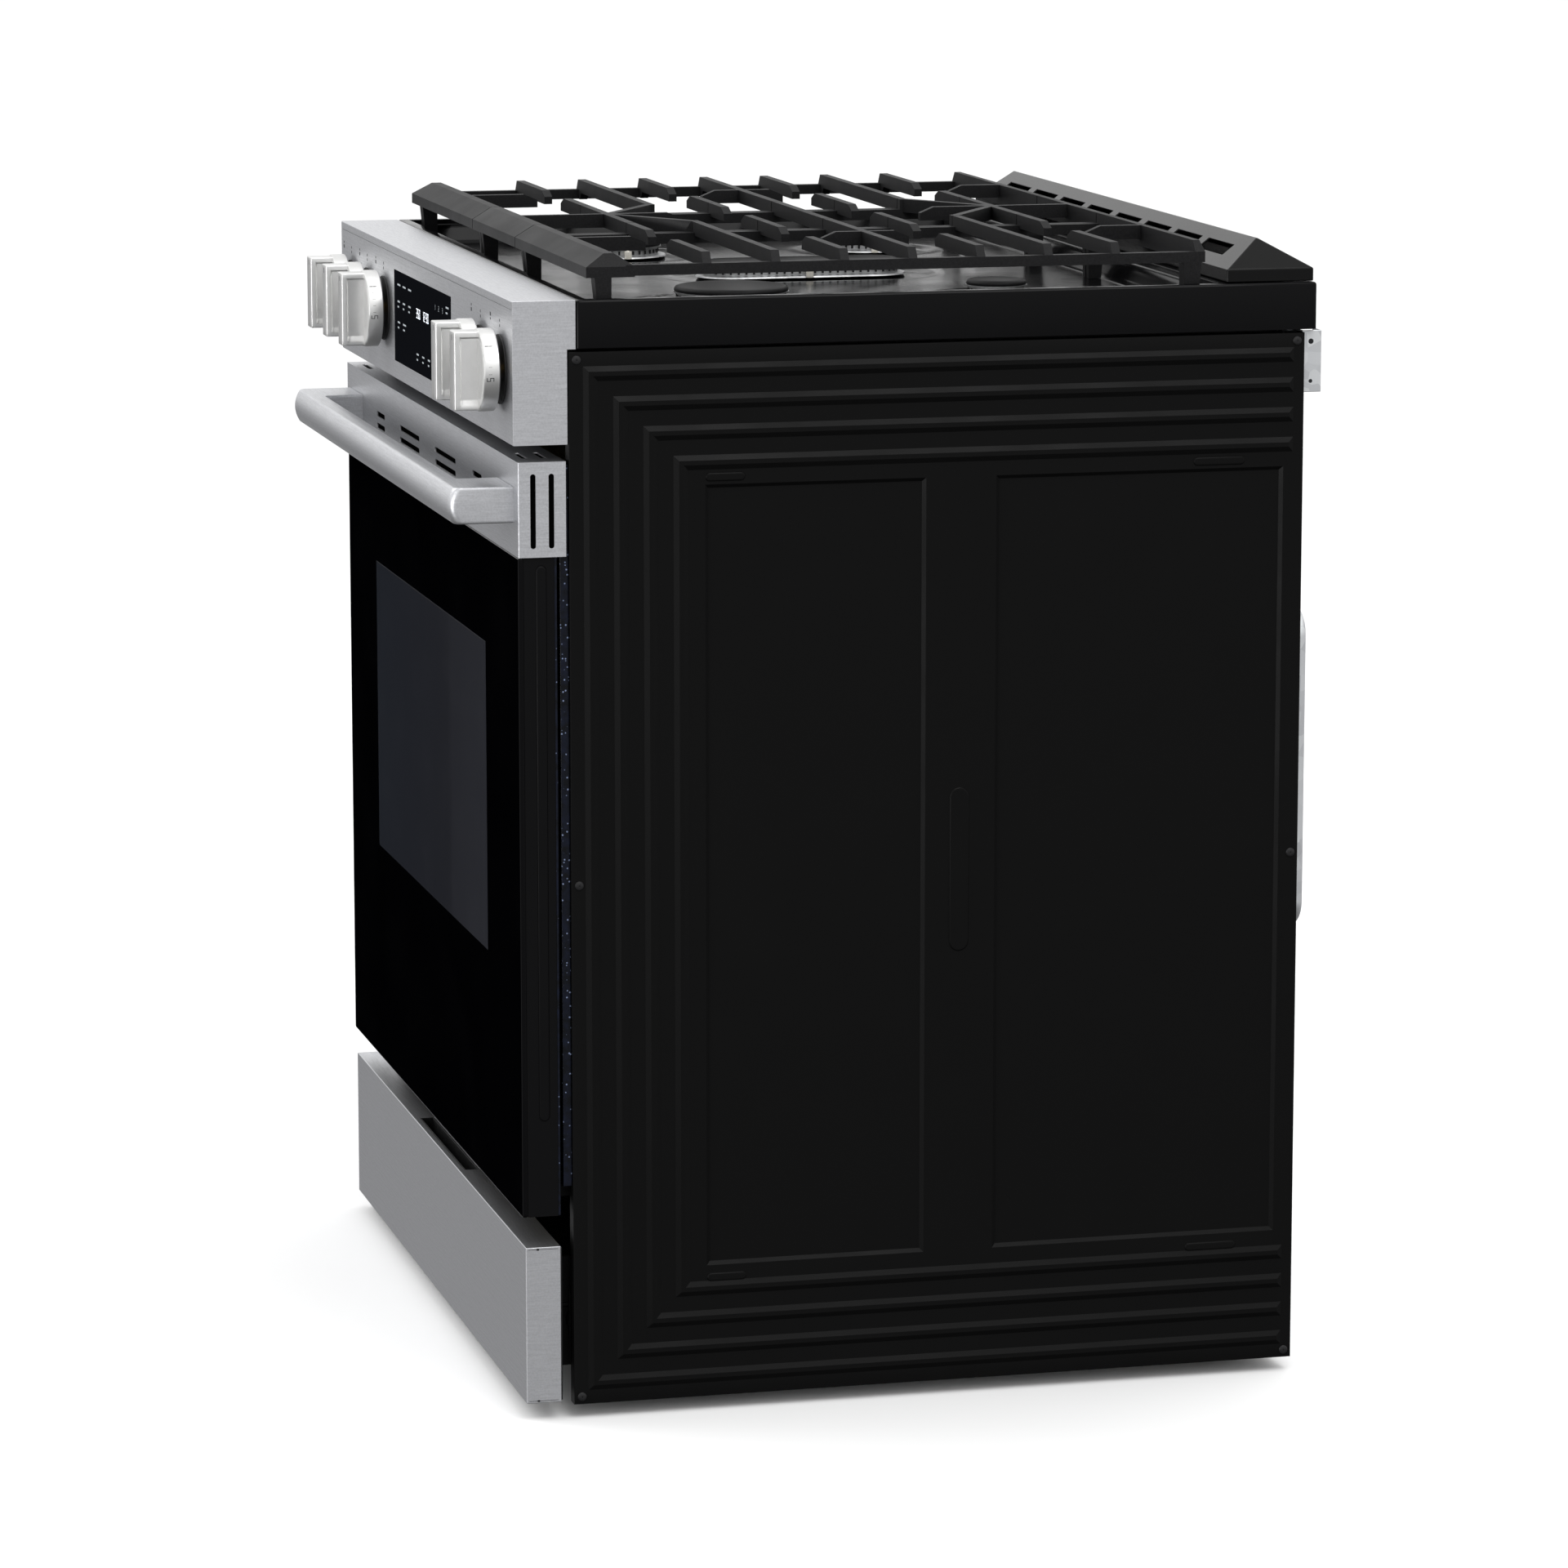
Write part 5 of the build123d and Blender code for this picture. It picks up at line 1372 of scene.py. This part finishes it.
class RANGE_OT_studio(bpy.types.Operator):
    """Pale floor, soft lights and the camera"""
    bl_idname = "range_finish.studio"
    bl_label = "Studio"

    def execute(self, context):
        scene = context.scene
        bm = bmesh.new()
        bmesh.ops.create_circle(bm, cap_ends=True, radius=60, segments=64)
        for vert in bm.verts:
            vert.co.z = -0.0002
        mesh = bpy.data.meshes.new("studio_floor")
        bm.to_mesh(mesh)
        bm.free()
        floor = scratch_object("studio_floor", mesh)
        mesh.materials.append(finish(studio_floor))
        floor.visible_glossy = False    # the range's metal and glass don't mirror it
        floor.visible_diffuse = False
        self.light_up(scene)
        camera = bpy.data.cameras.new("camera")
        camera.lens = 145.5
        camera.sensor_width = 36
        camera.clip_end = 200
        holder = scratch_object("camera", camera)
        yaw, pitch = math.radians(14.14), math.radians(10.05)
        forward = Vector((-math.cos(yaw) * math.cos(pitch), math.sin(yaw) * math.cos(pitch), -math.sin(pitch)))
        holder.location = (5.260, -1.3217, 1.410)
        holder.rotation_euler = forward.to_track_quat("-Z", "Y").to_euler()
        scene.camera = holder
        scene.view_settings.view_transform = "Standard"
        return {"FINISHED"}

    def light_up(self, scene):
        world = bpy.data.worlds.new("studio")
        scene.world = world
        world.use_nodes = True
        tree = world.node_tree
        tree.nodes.clear()
        ray = add(tree, "ShaderNodeTexCoord").outputs["Generated"]
        height = add(tree, "ShaderNodeSeparateXYZ", {0: ray}).outputs[2]
        height = add(tree, "ShaderNodeMapRange", {"Value": height, "From Min": -1.0}).outputs[0]
        shade = add(tree, "ShaderNodeValToRGB", {"Fac": height}, [
            (0.0, (0.1, 0.1, 0.1)), (0.3, (0.22, 0.22, 0.22)), (0.42, (0.56, 0.56, 0.57)),
            (0.6, (1.0, 1.0, 1.0)), (1.0, (1.0, 1.0, 1.0))]).outputs["Color"]
        # The door glass mirrors this part of the room to the camera. It is dark, so that the glass looks black.
        mirrored, brightness = (-0.9682, -0.1882, -0.165), 1.15
        near = add(tree, "ShaderNodeVectorMath", {0: ray, 1: mirrored}, operation="DOT_PRODUCT").outputs["Value"]
        light = add(tree, "ShaderNodeMapRange", {"Value": near, "From Min": 0.985, "From Max": 0.9925,
                                                 "To Min": 1.0, "To Max": 0.0}).outputs[0]
        strength = add(tree, "ShaderNodeMath", {0: light, 1: brightness}, operation="MULTIPLY").outputs[0]
        soft = add(tree, "ShaderNodeBackground", {"Color": shade, "Strength": strength})
        plain = add(tree, "ShaderNodeBackground", {"Color": (1, 1, 1, 1), "Strength": 1.0})
        path = add(tree, "ShaderNodeLightPath")
        mixed = add(tree, "ShaderNodeMixShader", {0: path.outputs["Is Camera Ray"], 1: soft.outputs[0],
                                                  2: plain.outputs[0]})
        add(tree, "ShaderNodeOutputWorld", {0: mixed.outputs[0]})
        for name, place, target, size, power in (
                ("key", (-1.6, -3.0, 3.6), (0, -0.1, 0.7), 2.4, 50.0),
                ("overhead", (0.0, 0.5, 3.6), (0, 0, 0.9), 2.4, 14.0),
                ("side", (3.2, 0.6, 4.2), (0.4, 0, 0.4), 2.4, 85.0),
                ("front_right", (2.2, -3.2, 0.55), (0.38, 0, 0.45), 1.3, 42.0)):
            lamp = bpy.data.lights.new(name, "AREA")
            lamp.size = size
            lamp.energy = power
            holder = scratch_object(name, lamp)
            holder.visible_camera = False
            holder.location = place
            holder.rotation_euler = (Vector(target) - Vector(place)).to_track_quat("-Z", "Y").to_euler()


class RANGE_PT_panel(bpy.types.Panel):
    """The range's settings and the steps that dress it"""
    bl_idname = "RANGE_PT_panel"
    bl_label = "Gas Range"
    bl_space_type = "VIEW_3D"
    bl_region_type = "UI"
    bl_category = "Gas Range"

    def draw(self, context):
        for group in (context.scene.range_sizes, context.scene.range_colours):
            for name in group.bl_rna.properties.keys():
                if name not in ("rna_type", "name"):
                    self.layout.prop(group, name)
        for step in STEPS:
            self.layout.operator(step.bl_idname)


STEPS = (RANGE_OT_side_panels, RANGE_OT_cooktop, RANGE_OT_burners, RANGE_OT_grates, RANGE_OT_vent_trim,
         RANGE_OT_control_panel, RANGE_OT_knobs, RANGE_OT_oven_door, RANGE_OT_oven, RANGE_OT_drawer,
         RANGE_OT_back, RANGE_OT_screws, RANGE_OT_studio)
CLASSES = (RangeSizes, RangeColours, *STEPS, RANGE_PT_panel)


def register():
    for one in CLASSES:
        bpy.utils.register_class(one)
    bpy.types.Scene.range_sizes = PointerProperty(type=RangeSizes)
    bpy.types.Scene.range_colours = PointerProperty(type=RangeColours)


def unregister():
    del bpy.types.Scene.range_sizes
    del bpy.types.Scene.range_colours
    for one in reversed(CLASSES):
        bpy.utils.unregister_class(one)


def main():
    register()
    for step in STEPS:
        group, name = step.bl_idname.split(".")
        getattr(getattr(bpy.ops, group), name)()


if __name__ == "__main__":
    main()
